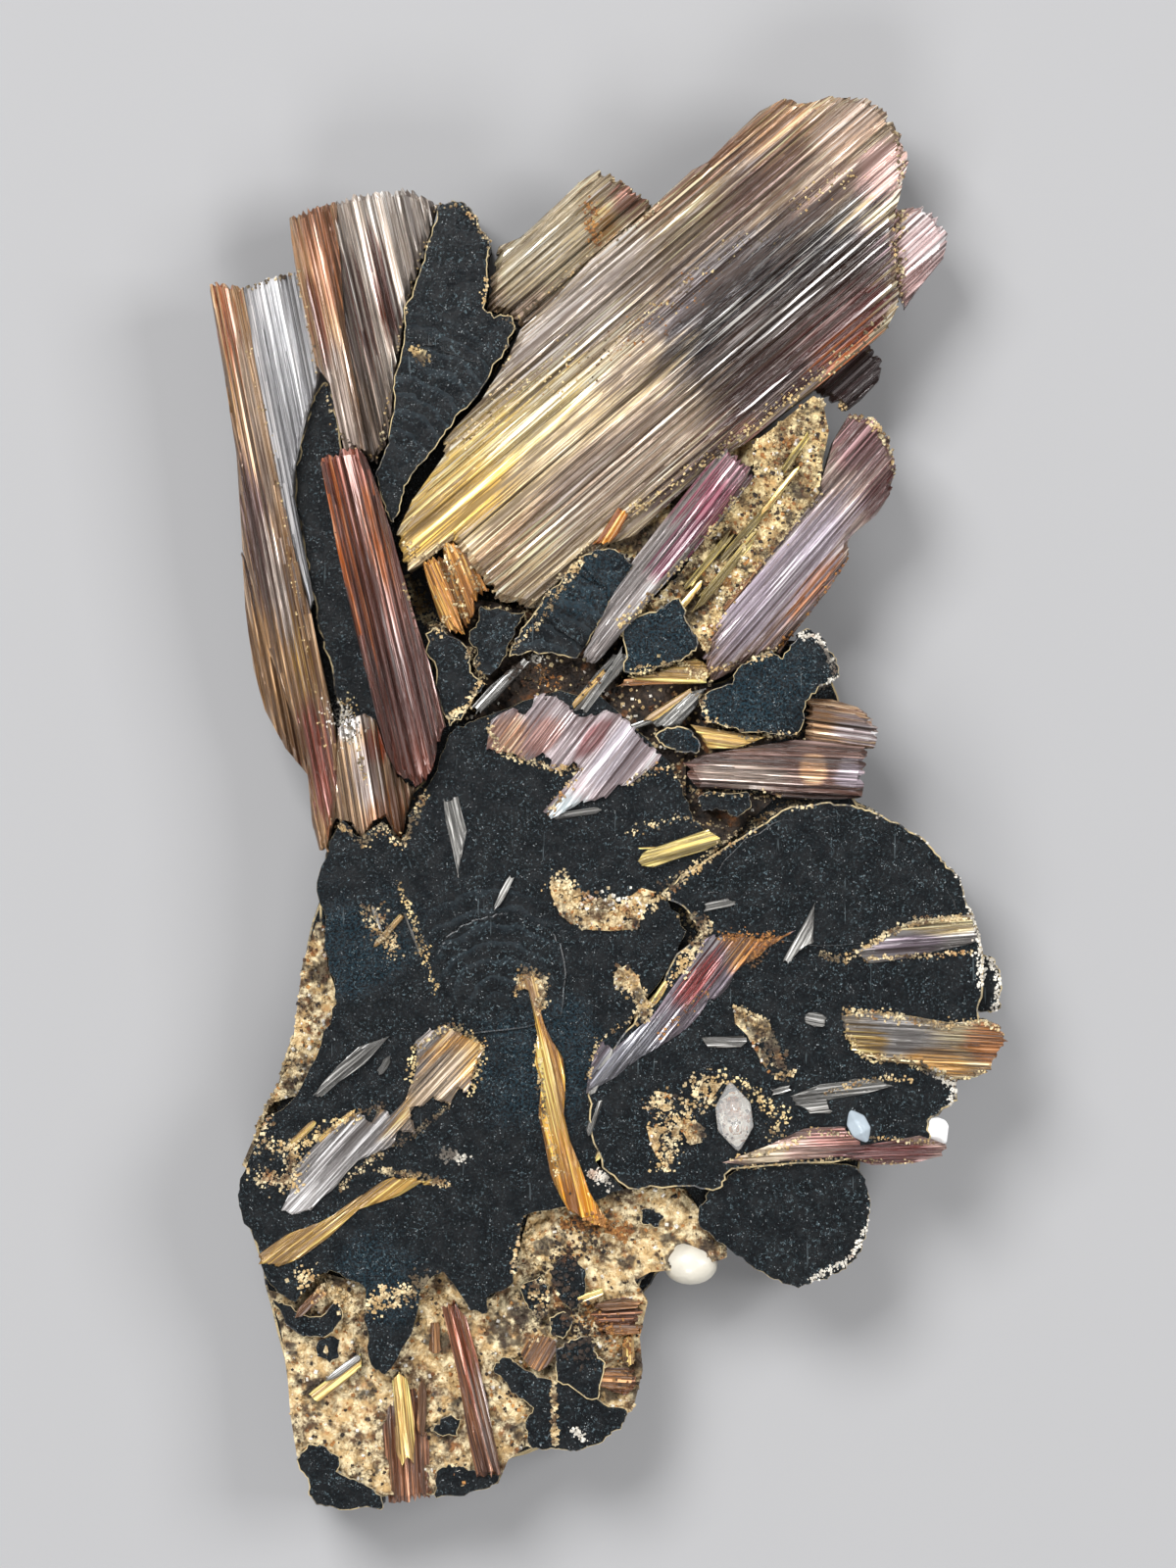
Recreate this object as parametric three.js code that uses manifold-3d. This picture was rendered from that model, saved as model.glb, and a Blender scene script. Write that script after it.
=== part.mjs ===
// Rutile on hematite: a flat specimen, about 29 mm long, lying on its back.
// Black hematite plates, grown together, make a rosette with two fins above it. Striated rutile crystals grow
// across it and out of it in three directions, 60 degrees apart. Clay and ochre fill the hollows, and a few
// quartz crystals sit on top.
//
// Frame: millimetres, +Z up towards the front face, +Y along the specimen's length towards the big blade. The
// origin is the middle of the bounding box, at the height of the face that the specimen lies on.
//
// Outlines are seen face on, in pixels of the photograph, x to the right and y down. PIXEL is a pixel in mm.

import * as THREE from "three";
import { mergeVertices } from "three/addons/utils/BufferGeometryUtils.js";
import Module from "manifold-3d";

const wasm = await Module();
wasm.setup();

// Driving dimensions, mm
const LENGTH = 28.9; // end to end, from the tip of the big blade to the hematite toe
const STAND_TOP = 0.35; // the lowest ledge of the back, which the specimen lies on
const BACK_LOW = 0.25; // rear face of the plate behind that ledge
const BACK_TOP = 1.0; // its front face
const CORE_TOP = 2.2; // the rosette's middle layer
const FACE = 3.0; // the rosette's broad front face
const POCKET = 2.55; // underside of the crystals that are set into that face
const BLADE_LOW = 1.3; // underside of the free blades
const SEAM = 0.3; // open seam between one piece and the next
const GRIP = 0.1; // how deep fused parts reach into each other
const OVERHEAD = 6; // higher than anything on the specimen

// The photograph's scale
const LENGTH_IN_PIXELS = 1443;
const PIXEL = LENGTH / LENGTH_IN_PIXELS;

// Rutile's ridges: their pitch, depth and fall to the crystal's sides, and how far a bar is made past its
// outline at the sides and the ends, in mm. stepped is the share of ridges where the crystal's level changes.
const RIDGES = { pitch: 0.34, relief: 0.16, crown: 0.22, side: 0.02, overrun: 0.5, stepped: 0.4 };

// Lumps of clay: their least and greatest size, as shares of the middle one, and how deep they sit in their
// bed, as a share of their radius
const LUMPS = { least: 0.6, greatest: 1.4, sunk: 0.25 };

// Length of a quartz crystal's point, as a share of its radius
const QUARTZ_POINT = 1.2;

const FINISHES = {
  hematite: { color: 0x14171c, roughness: 0.42, metalness: 0.35 },
  silver: { color: 0x9a8f93, roughness: 0.28, metalness: 0.35 },
  golden: { color: 0xc9a35c, roughness: 0.3, metalness: 0.25 },
  tan: { color: 0xa98468, roughness: 0.32, metalness: 0.25 },
  red: { color: 0x7c4430, roughness: 0.26, metalness: 0.25 },
  amber: { color: 0xb9781f, roughness: 0.32, metalness: 0.15 },
  dusk: { color: 0x57474f, roughness: 0.26, metalness: 0.35 },
  clay: { color: 0xbfa77a, roughness: 0.95, metalness: 0 },
  quartz: { color: 0xe4e2dc, roughness: 0.12, metalness: 0 },
};

// Solids

/** A closed three.js geometry as a solid that can be joined and cut. */
function solidOf(geometry) {
  const plain = geometry.index ? geometry.toNonIndexed() : geometry.clone();
  plain.deleteAttribute("normal");
  plain.deleteAttribute("uv");
  const merged = mergeVertices(plain, 1e-4);
  return new wasm.Manifold(
    new wasm.Mesh({
      numProp: 3,
      vertProperties: merged.attributes.position.array,
      triVerts: new Uint32Array(merged.index.array),
    }),
  );
}

/** A solid as a three.js geometry with flat faces. */
function geometryOf(solid) {
  const mesh = solid.getMesh();
  const geometry = new THREE.BufferGeometry();
  geometry.setAttribute("position", new THREE.BufferAttribute(mesh.vertProperties, 3));
  geometry.setIndex(new THREE.BufferAttribute(mesh.triVerts, 1));
  const flat = geometry.toNonIndexed();
  flat.computeVertexNormals();
  return flat;
}

const join = (solids) => solids.reduce((whole, solid) => whole.add(solid));

const cut = (solid, rooms) => rooms.reduce((left, room) => left.subtract(room), solid);

/** The largest body of a solid, which drops the crumbs that a cut leaves. */
function largestBody(solid) {
  return solid.decompose().sort((a, b) => b.volume() - a.volume())[0];
}

/** Repeatable random numbers from 0 to 1. */
function randomFrom(seed) {
  let state = seed * 2654435761;
  return () => {
    state = (state + 0x6d2b79f5) | 0;
    let t = Math.imul(state ^ (state >>> 15), 1 | state);
    t = (t + Math.imul(t ^ (t >>> 7), 61 | t)) ^ t;
    return ((t ^ (t >>> 14)) >>> 0) / 4294967296;
  };
}

/** Outline points in mm, counter-clockwise. */
function toMillimetres(outline) {
  const points = outline.map(([x, y]) => new THREE.Vector2(x * PIXEL, -y * PIXEL));
  return THREE.ShapeUtils.isClockWise(points) ? points.reverse() : points;
}

/** A counter-clockwise outline with every edge moved out by a distance, in mm. */
function grown(points, distance) {
  const count = points.length;
  return points.map((point, i) => {
    const into = point.clone().sub(points[(i + count - 1) % count]).normalize();
    const outOf = points[(i + 1) % count].clone().sub(point).normalize();
    const bisector = new THREE.Vector2(into.y + outOf.y, -into.x - outOf.x).normalize();
    const share = Math.max(0.5, bisector.dot(new THREE.Vector2(outOf.y, -outOf.x)));
    return point.clone().addScaledVector(bisector, distance / share);
  });
}

/** A straight prism over an outline in mm, from one height to another. */
function prism(points, low, high) {
  const geometry = new THREE.ExtrudeGeometry(new THREE.Shape(points), {
    depth: high - low,
    bevelEnabled: false,
    curveSegments: 1,
  });
  return solidOf(geometry.translate(0, 0, low));
}

/** The room that a piece and the seam round it take from what lies behind it. */
function roomOf(points, low) {
  return prism(grown(points, SEAM), low - SEAM, OVERHEAD);
}

/** Pixels on an arc, from one angle to another in degrees, 0 to the right and 90 up. */
function arc(x, y, radius, from, to, pieces) {
  return Array.from({ length: pieces + 1 }, (_, i) => {
    const angle = THREE.MathUtils.degToRad(from + ((to - from) * i) / pieces);
    return [x + radius * Math.cos(angle), y - radius * Math.sin(angle)];
  });
}

/** A named piece made of parts that grew together, joined in one solid. */
function piece(name, finish, parts) {
  const rooms = parts.map((part) => part.room);
  return { name, finish, solid: join(parts.map((part) => part.solid)), rooms };
}

// Rutile

/** The ridged edge of a crystal's section. sign is 1 for its front and -1 for its back. */
function ridgedEdge({ left, right, ridges, random, relief, crown, stepped }, height, sign) {
  const width = (right - left) / ridges;
  const edge = [];
  let level = 0;
  for (let i = 0; i < ridges; i += 1) {
    if (random() < stepped) level = random() * relief;
    const across = (2 * (i + 0.5)) / ridges - 1;
    const fall = level + crown * across ** 2;
    const crest = left + (i + 0.35 + 0.3 * random()) * width;
    const groove = fall + relief * (0.6 + 0.4 * random());
    edge.push(new THREE.Vector2(left + i * width, height - sign * groove));
    edge.push(new THREE.Vector2(crest, height - sign * fall));
  }
  edge.push(new THREE.Vector2(right, height - sign * (crown + relief)));
  return edge;
}

/**
 * One striated rutile crystal: a bar with ridges along its axis, trimmed to its outline. axis is in degrees
 * from +X, low and high are its heights in mm, and free says that its back is ridged too.
 */
function rutile({ outline, axis, low, high, seed, free = false, ...shape }) {
  const { pitch, relief, crown, side, overrun, stepped } = { ...RIDGES, ...shape };
  const points = toMillimetres(outline);
  const angle = THREE.MathUtils.degToRad(axis);
  const along = new THREE.Vector3(Math.cos(angle), Math.sin(angle), 0);
  const across = new THREE.Vector3(-Math.sin(angle), Math.cos(angle), 0);
  const widths = points.map((p) => p.x * across.x + p.y * across.y);
  const reaches = points.map((p) => p.x * along.x + p.y * along.y);
  const left = Math.min(...widths) - side;
  const right = Math.max(...widths) + side;
  const start = Math.min(...reaches) - overrun;
  const end = Math.max(...reaches) + overrun;
  const ridges = Math.max(2, Math.round((right - left) / pitch));
  const section = { left, right, ridges, random: randomFrom(seed), relief, crown, stepped };

  const front = ridgedEdge(section, high, 1).reverse();
  const flatBack = [new THREE.Vector2(left, low), new THREE.Vector2(right, low)];
  const back = free ? ridgedEdge(section, low, -1) : flatBack;
  const bar = new THREE.ExtrudeGeometry(new THREE.Shape([...back, ...front]), {
    depth: end - start,
    bevelEnabled: false,
    curveSegments: 1,
  });
  bar.translate(0, 0, start);
  bar.applyMatrix4(new THREE.Matrix4().makeBasis(across, new THREE.Vector3(0, 0, 1), along));
  return { solid: solidOf(bar).intersect(prism(points, low - GRIP, OVERHEAD)), room: roomOf(points, low) };
}

const RED_COLUMN = piece("rutile_red_column", "red", [
  rutile({
    axis: 103, low: 2.45, high: 3.95, relief: 0.2, crown: 0.5, seed: 21,
    outline: [[326, 470], [334, 464], [355, 457], [367, 458], [374, 466], [388, 503], [401, 545],
      [413, 590], [427, 640], [439, 676], [449, 712], [456, 742], [447, 762], [443, 782], [436, 796],
      [424, 803], [405, 790], [394, 768], [385, 735], [374, 690], [362, 645], [352, 600], [343, 558],
      [341, 545], [333, 505]],
  }),
  rutile({
    axis: 99, low: BLADE_LOW, high: 2.9, crown: 0.15, seed: 81,
    outline: [[344, 742], [354, 731], [370, 726], [384, 735], [394, 768], [405, 790], [424, 803],
      [416, 828], [410, 857], [402, 850], [393, 834], [380, 842], [370, 857], [358, 842], [344, 838],
      [336, 850], [342, 800]],
  }),
]);

const PINK_COLUMN = piece("rutile_pink_column", "dusk", [
  rutile({
    axis: 51.5, low: 2.3, high: 3.6, crown: 0.4, seed: 22,
    outline: [[593, 671], [599, 678], [610, 676], [632, 649], [662, 614], [690, 583], [722, 549],
      [748, 516], [768, 488], [766, 478], [752, 463], [742, 457], [722, 475], [698, 505], [672, 538],
      [648, 569], [628, 602], [612, 634], [602, 655]],
  }),
]);

const STUB_PAIR = piece("rutile_stub_pair", "tan", [
  rutile({
    axis: 114, low: 2.1, high: 3.3, pitch: 0.25, seed: 24,
    outline: [[430, 574], [438, 568], [452, 566], [463, 600], [475, 648], [460, 646], [449, 634],
      [441, 610]],
  }),
  rutile({
    axis: 112, low: 2.1, high: 3.4, pitch: 0.25, seed: 25,
    outline: [[451, 556], [460, 551], [476, 562], [487, 580], [499, 604], [487, 612], [484, 628],
      [476, 643], [464, 618], [454, 588]],
  }),
]);

const CROSS_BUNDLE = piece("rutile_cross_bundle", "silver", [
  rutile({
    axis: 52, low: POCKET, high: 3.18, crown: 0.1, seed: 31,
    outline: [[500, 740], [516, 723], [533, 724], [552, 708], [567, 704], [578, 721], [592, 731],
      [624, 719], [646, 741], [667, 764], [684, 781], [660, 792], [640, 805], [612, 822], [572, 832],
      [565, 838], [556, 828], [596, 780], [570, 788], [560, 774], [537, 778], [505, 768], [496, 758]],
  }),
]);

const PURPLE_BUNDLE = piece("rutile_purple_bundle", "dusk", [
  rutile({
    axis: 52, low: POCKET, high: 3.2, crown: 0.12, seed: 32,
    outline: [[600, 1118], [604, 1096], [616, 1060], [638, 1062], [662, 1040], [684, 1002], [705, 973],
      [724, 952], [762, 952], [806, 952], [776, 976], [752, 994], [722, 1022], [698, 1050], [662, 1072],
      [630, 1099]],
  }),
]);

const INLAY_NORTHEAST = piece("rutile_inlay_northeast", "silver", [
  rutile({
    axis: 4, low: POCKET, high: 3.2, crown: 0.1, seed: 34,
    outline: [[866, 972], [896, 960], [926, 940], [950, 934], [994, 933], [998, 962], [960, 970],
      [920, 979], [886, 984]],
  }),
]);

const INLAY_EAST = piece("rutile_inlay_east", "golden", [
  rutile({
    axis: -3, low: 2.3, high: 3.16, crown: 0.16, seed: 35,
    outline: [[858, 1036], [878, 1031], [925, 1035], [972, 1043], [1004, 1039], [1020, 1046], [1028, 1062],
      [1016, 1080], [1012, 1092], [994, 1100], [970, 1102], [940, 1088], [900, 1083], [868, 1072],
      [860, 1054]],
  }),
]);

const INLAY_SOUTHEAST = piece("rutile_inlay_southeast", "tan", [
  rutile({
    axis: 2, low: 2.2, high: 3.06, crown: 0.14, seed: 36,
    outline: [[737, 1186], [784, 1168], [820, 1151], [862, 1148], [882, 1168], [938, 1158], [968, 1168],
      [962, 1179], [932, 1187], [890, 1189], [860, 1180], [810, 1184], [760, 1189]],
  }),
]);

const BLOCK_EAST = piece("rutile_block_east", "dusk", [
  rutile({
    axis: -3, low: 1.4, high: 3.0, crown: 0.14, seed: 44,
    outline: [[696, 779], [716, 770], [760, 762], [820, 753], [886, 760], [884, 786], [880, 815],
      [830, 817], [800, 815], [772, 806], [712, 806], [702, 792]],
  }),
  rutile({
    axis: -8, low: 1.6, high: 2.95, pitch: 0.26, crown: 0.3, seed: 45,
    outline: [[822, 712], [850, 713], [876, 721], [890, 731], [898, 744], [893, 764], [866, 764],
      [822, 762]],
  }),
]);

const WEST_BUNDLE = piece("rutile_west_bundle", "silver", [
  rutile({
    axis: 47, low: POCKET, high: 3.16, crown: 0.1, seed: 38,
    outline: [[433, 1072], [455, 1043], [472, 1050], [492, 1058], [484, 1100], [478, 1118], [458, 1121],
      [436, 1128], [410, 1147], [380, 1172], [350, 1205], [320, 1235], [304, 1240], [285, 1237],
      [294, 1218], [300, 1200], [335, 1162], [366, 1160], [395, 1137], [418, 1100]],
  }),
]);

const SOUTHWEST_BUNDLE = piece("rutile_southwest_bundle", "golden", [
  rutile({
    axis: 38, low: POCKET, high: 3.1, pitch: 0.24, crown: 0.1, seed: 39,
    outline: [[388, 1206], [404, 1200], [444, 1203], [462, 1211], [426, 1209], [408, 1220], [366, 1234],
      [336, 1262], [306, 1284], [284, 1293], [264, 1290], [264, 1280], [292, 1260], [340, 1240],
      [366, 1220]],
  }),
]);

const AMBER_FAN = piece("rutile_amber_fan", "amber", [
  rutile({
    axis: 103, low: POCKET, high: 3.2, pitch: 0.26, crown: 0.12, seed: 41,
    outline: [[528, 992], [544, 990], [556, 1006], [556, 1038], [576, 1072], [580, 1104], [590, 1156],
      [606, 1204], [619, 1242], [608, 1255], [590, 1248], [576, 1216], [562, 1150], [552, 1096],
      [546, 1040], [538, 1008]],
  }),
]);

const SOUTH_COLUMN = piece("rutile_south_column", "red", [
  rutile({
    axis: 104, low: 1.9, high: 3.0, pitch: 0.26, crown: 0.25, seed: 51,
    outline: [[450, 1332], [462, 1327], [476, 1344], [488, 1385], [498, 1435], [506, 1472], [512, 1506],
      [500, 1511], [484, 1509], [476, 1465], [466, 1405], [456, 1362]],
  }),
]);

const TOE_COLUMN = piece("rutile_toe_column", "red", [
  rutile({
    axis: 93, low: 1.6, high: 2.8, pitch: 0.26, crown: 0.2, seed: 52,
    outline: [[388, 1450], [402, 1428], [420, 1414], [432, 1430], [438, 1480], [438, 1531], [418, 1535],
      [396, 1536], [392, 1496]],
  }),
]);

const BAR_SOUTHEAST = piece("rutile_bar_southeast", "red", [
  rutile({
    axis: 2, low: 1.8, high: 2.85, pitch: 0.26, crown: 0.15, seed: 53,
    outline: [[606, 1330], [636, 1324], [657, 1330], [655, 1348], [644, 1364], [612, 1364], [601, 1346]],
  }),
]);

const BAR_SOUTH = piece("rutile_bar_south", "tan", [
  rutile({
    axis: -2, low: 1.8, high: 2.75, pitch: 0.26, crown: 0.15, seed: 54,
    outline: [[582, 1402], [620, 1396], [651, 1398], [650, 1418], [640, 1427], [606, 1418]],
  }),
]);

const MAIN_BLADE = piece("rutile_main_blade", "golden", [
  rutile({
    axis: 40.5, low: BLADE_LOW, high: 3.3, free: true, pitch: 0.32, relief: 0.2, crown: 0.35, seed: 71,
    outline: [[403, 546], [420, 510], [450, 468], [452, 448], [490, 408], [517, 366], [530, 336],
      [566, 303], [608, 258], [645, 228], [670, 205], [706, 172], [722, 164], [745, 140], [775, 112],
      [800, 99], [830, 103], [846, 97], [884, 98], [904, 112], [920, 138], [928, 164], [921, 194],
      [914, 218], [917, 268], [918, 312], [905, 336], [870, 366], [836, 394], [802, 420], [770, 446],
      [735, 470], [690, 508], [650, 546], [622, 556], [602, 566], [576, 598], [548, 622], [506, 613],
      [486, 584], [462, 552], [436, 572], [415, 586]],
  }),
  rutile({
    axis: 41, low: BLADE_LOW, high: 2.85, free: true, crown: 0.25, seed: 72,
    outline: [[496, 318], [500, 280], [508, 249], [530, 240], [560, 213], [590, 184], [609, 171],
      [622, 174], [644, 190], [668, 206], [660, 240], [604, 290], [562, 320], [532, 340], [520, 322]],
  }),
  rutile({
    axis: 42, low: BLADE_LOW, high: 2.7, free: true, crown: 0.3, seed: 73,
    outline: [[900, 212], [942, 208], [957, 216], [969, 238], [966, 260], [944, 286], [924, 314],
      [900, 268]],
  }),
  rutile({
    axis: 42, low: BLADE_LOW, high: 2.4, free: true, crown: 0.2, seed: 74,
    outline: [[880, 340], [903, 366], [899, 386], [880, 406], [864, 419], [830, 396], [850, 366]],
  }),
  rutile({
    axis: 57, low: 2.3, high: 3.35, pitch: 0.25, seed: 23,
    outline: [[604, 556], [617, 536], [631, 516], [643, 524], [632, 544], [622, 556]],
  }),
]);

const RIGHT_BLADE = piece("rutile_right_blade", "silver", [
  rutile({
    axis: 49, low: BLADE_LOW, high: 3.0, free: true, crown: 0.3, seed: 75,
    outline: [[868, 420], [894, 427], [909, 446], [916, 474], [911, 502], [896, 524], [870, 546],
      [868, 568], [846, 602], [828, 624], [806, 652], [796, 668], [770, 673], [740, 690], [722, 698],
      [716, 672], [724, 652], [738, 616], [770, 580], [808, 534], [834, 503], [850, 450]],
  }),
]);

const LEFT_FAN = piece("rutile_left_fan", "silver", [
  rutile({
    axis: 103, low: BLADE_LOW, high: 2.95, free: true, crown: 0.15, seed: 76,
    outline: [[330, 208], [355, 198], [380, 195], [410, 190], [422, 193], [438, 202], [447, 206],
      [442, 226], [434, 256], [422, 294], [412, 320], [409, 350], [402, 386], [400, 420], [394, 456],
      [384, 476], [366, 462], [352, 410], [340, 330]],
  }),
  rutile({
    axis: 102, low: BLADE_LOW, high: 3.15, free: true, crown: 0.25, seed: 77,
    outline: [[294, 222], [312, 212], [343, 204], [352, 330], [366, 410], [374, 462], [352, 462],
      [342, 424], [336, 392], [322, 372], [312, 326], [300, 268]],
  }),
  rutile({
    axis: 101, low: BLADE_LOW, high: 2.75, free: true, crown: 0.2, seed: 78,
    outline: [[240, 295], [266, 284], [290, 277], [306, 275], [316, 304], [328, 368], [324, 386],
      [310, 432], [301, 472], [299, 505], [308, 552], [320, 616], [316, 622], [296, 556], [276, 488],
      [256, 384]],
  }),
  rutile({
    axis: 101, low: BLADE_LOW, high: 3.0, free: true, crown: 0.25, seed: 79,
    outline: [[212, 290], [220, 286], [249, 292], [264, 384], [284, 488], [300, 556], [318, 630],
      [332, 696], [342, 742], [346, 780], [344, 820], [334, 870], [325, 868], [317, 838], [312, 776],
      [292, 716], [272, 660], [256, 596], [246, 560], [243, 510], [240, 462], [228, 384]],
  }),
  rutile({
    axis: 101, low: BLADE_LOW, high: 2.4, free: true, crown: 0.2, seed: 80,
    outline: [[245, 562], [264, 596], [280, 660], [300, 716], [318, 776], [320, 800], [290, 764],
      [268, 724], [256, 680], [248, 620]],
  }),
]);

// Clay and ochre

/** Whether a place is inside an outline. */
function isInside([x, y], points) {
  let inside = false;
  points.forEach((a, i) => {
    const b = points[(i + points.length - 1) % points.length];
    if (a.y > y !== b.y > y && x < ((b.x - a.x) * (y - a.y)) / (b.y - a.y) + a.x) inside = !inside;
  });
  return inside;
}

/** A bed of clay with lumps scattered over it. lump is a lump's middle radius, in mm. */
function clay({ outline, low, high, lump, lumps, seed }) {
  const points = toMillimetres(outline);
  const random = randomFrom(seed);
  const box = new THREE.Box2().setFromPoints(points);
  const solids = [prism(points, low, high)];
  while (solids.length <= lumps) {
    const x = THREE.MathUtils.lerp(box.min.x, box.max.x, random());
    const y = THREE.MathUtils.lerp(box.min.y, box.max.y, random());
    const radius = lump * THREE.MathUtils.lerp(LUMPS.least, LUMPS.greatest, random());
    const shape = new THREE.IcosahedronGeometry(radius, 0);
    shape.rotateX(Math.PI * random()).rotateY(Math.PI * random());
    if (isInside([x, y], points)) solids.push(solidOf(shape.translate(x, y, high - LUMPS.sunk * radius)));
  }
  return { solid: join(solids).intersect(prism(points, low, OVERHEAD)), room: roomOf(points, low) };
}

const OCHRE_CRUST = piece("ochre_crust_east", "clay", [
  clay({
    low: BLADE_LOW, high: 2.78, lump: 0.2, lumps: 28, seed: 61,
    outline: [[790, 440], [830, 404], [868, 422], [850, 450], [834, 503], [808, 534], [770, 580],
      [738, 616], [719, 666], [702, 622], [692, 602], [712, 570], [744, 530], [774, 488], [780, 462]],
  }),
]);

const CLAY_BED = piece("clay_bed_south", "clay", [
  clay({
    low: 1.5, high: 2.45, lump: 0.24, lumps: 38, seed: 63,
    outline: [[540, 1236], [600, 1226], [644, 1212], [700, 1214], [714, 1236], [742, 1274], [742, 1284],
      [706, 1296], [664, 1299], [648, 1308], [661, 1330], [653, 1366], [656, 1400], [646, 1440],
      [600, 1474], [536, 1478], [518, 1492], [508, 1516], [470, 1524], [436, 1528], [380, 1526],
      [330, 1504], [302, 1488], [296, 1450], [292, 1400], [284, 1350], [272, 1318], [292, 1322],
      [330, 1300], [372, 1312], [376, 1380], [394, 1400], [420, 1360], [430, 1306], [452, 1290],
      [486, 1334], [522, 1310]],
  }),
]);

const CLAY_RIM = piece("clay_rim_west", "clay", [
  clay({
    low: BLADE_LOW, high: 2.5, lump: 0.16, lumps: 12, seed: 64,
    outline: [[322, 942], [330, 944], [334, 988], [344, 1016], [334, 1054], [318, 1088], [304, 1118],
      [276, 1126], [262, 1154], [294, 1164], [316, 1186], [300, 1214], [272, 1206], [246, 1190],
      [262, 1152], [280, 1114], [296, 1086], [301, 1040], [308, 984]],
  }),
]);

// Quartz

/** A part given by its shape at its own size and at its size with the seam round it. */
function quartz(shapeGrownBy) {
  return [{ solid: shapeGrownBy(0), room: shapeGrownBy(SEAM) }];
}

/** A six-sided prism with a point at each end, lying flat. at is its middle in pixels, sizes are in mm. */
function quartzPrism({ at, axis, length, radius, middle }) {
  return quartz((extra) => {
    const half = length / 2 + extra;
    const shoulder = half - QUARTZ_POINT * radius;
    const profile = [
      new THREE.Vector2(0, -half),
      new THREE.Vector2(radius + extra, -shoulder),
      new THREE.Vector2(radius + extra, shoulder),
      new THREE.Vector2(0, half),
    ];
    const geometry = new THREE.LatheGeometry(profile, 6);
    geometry.rotateZ(THREE.MathUtils.degToRad(axis - 90));
    return solidOf(geometry.translate(at[0] * PIXEL, -at[1] * PIXEL, middle));
  });
}

/** A water-worn pebble. */
function quartzPebble({ at, radius, middle, stretch }) {
  return quartz((extra) => {
    const geometry = new THREE.IcosahedronGeometry(radius + extra, 1).scale(...stretch);
    return solidOf(geometry.translate(at[0] * PIXEL, -at[1] * PIXEL, middle));
  });
}

const QUARTZ_PRISMS = [
  { name: "quartz_point", at: [749, 1139], axis: 97, length: 1.5, radius: 0.42, middle: 3.2 },
  { name: "quartz_glint", at: [956, 1152], axis: 120, length: 0.8, radius: 0.28, middle: 2.95 },
  { name: "quartz_chip", at: [876, 1149], axis: 118, length: 0.85, radius: 0.24, middle: 3.1 },
];
const PEBBLE = { at: [705, 1291], radius: 0.6, middle: 2.2, stretch: [1, 0.78, 0.8] };
const QUARTZ = [
  ...QUARTZ_PRISMS.map((sizes) => piece(sizes.name, "quartz", quartzPrism(sizes))),
  piece("quartz_pebble", "quartz", quartzPebble(PEBBLE)),
];

// Hematite

/** A flat plate with its growth ledges, thin sheets that end in a curve across the plate's face. */
function plate({ outline, low, high, ledges = [] }) {
  const points = toMillimetres(outline);
  const sheets = ledges.map((ledge) => {
    const sheet = prism(toMillimetres(ledge.outline), low, high + ledge.rise);
    return sheet.intersect(prism(points, low, OVERHEAD));
  });
  return { solid: join([prism(points, low, high), ...sheets]), room: roomOf(points, low) };
}

const ON_BACK = BACK_TOP - GRIP;
const ON_CORE = CORE_TOP - GRIP;
const ON_FACE = FACE - GRIP;

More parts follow.
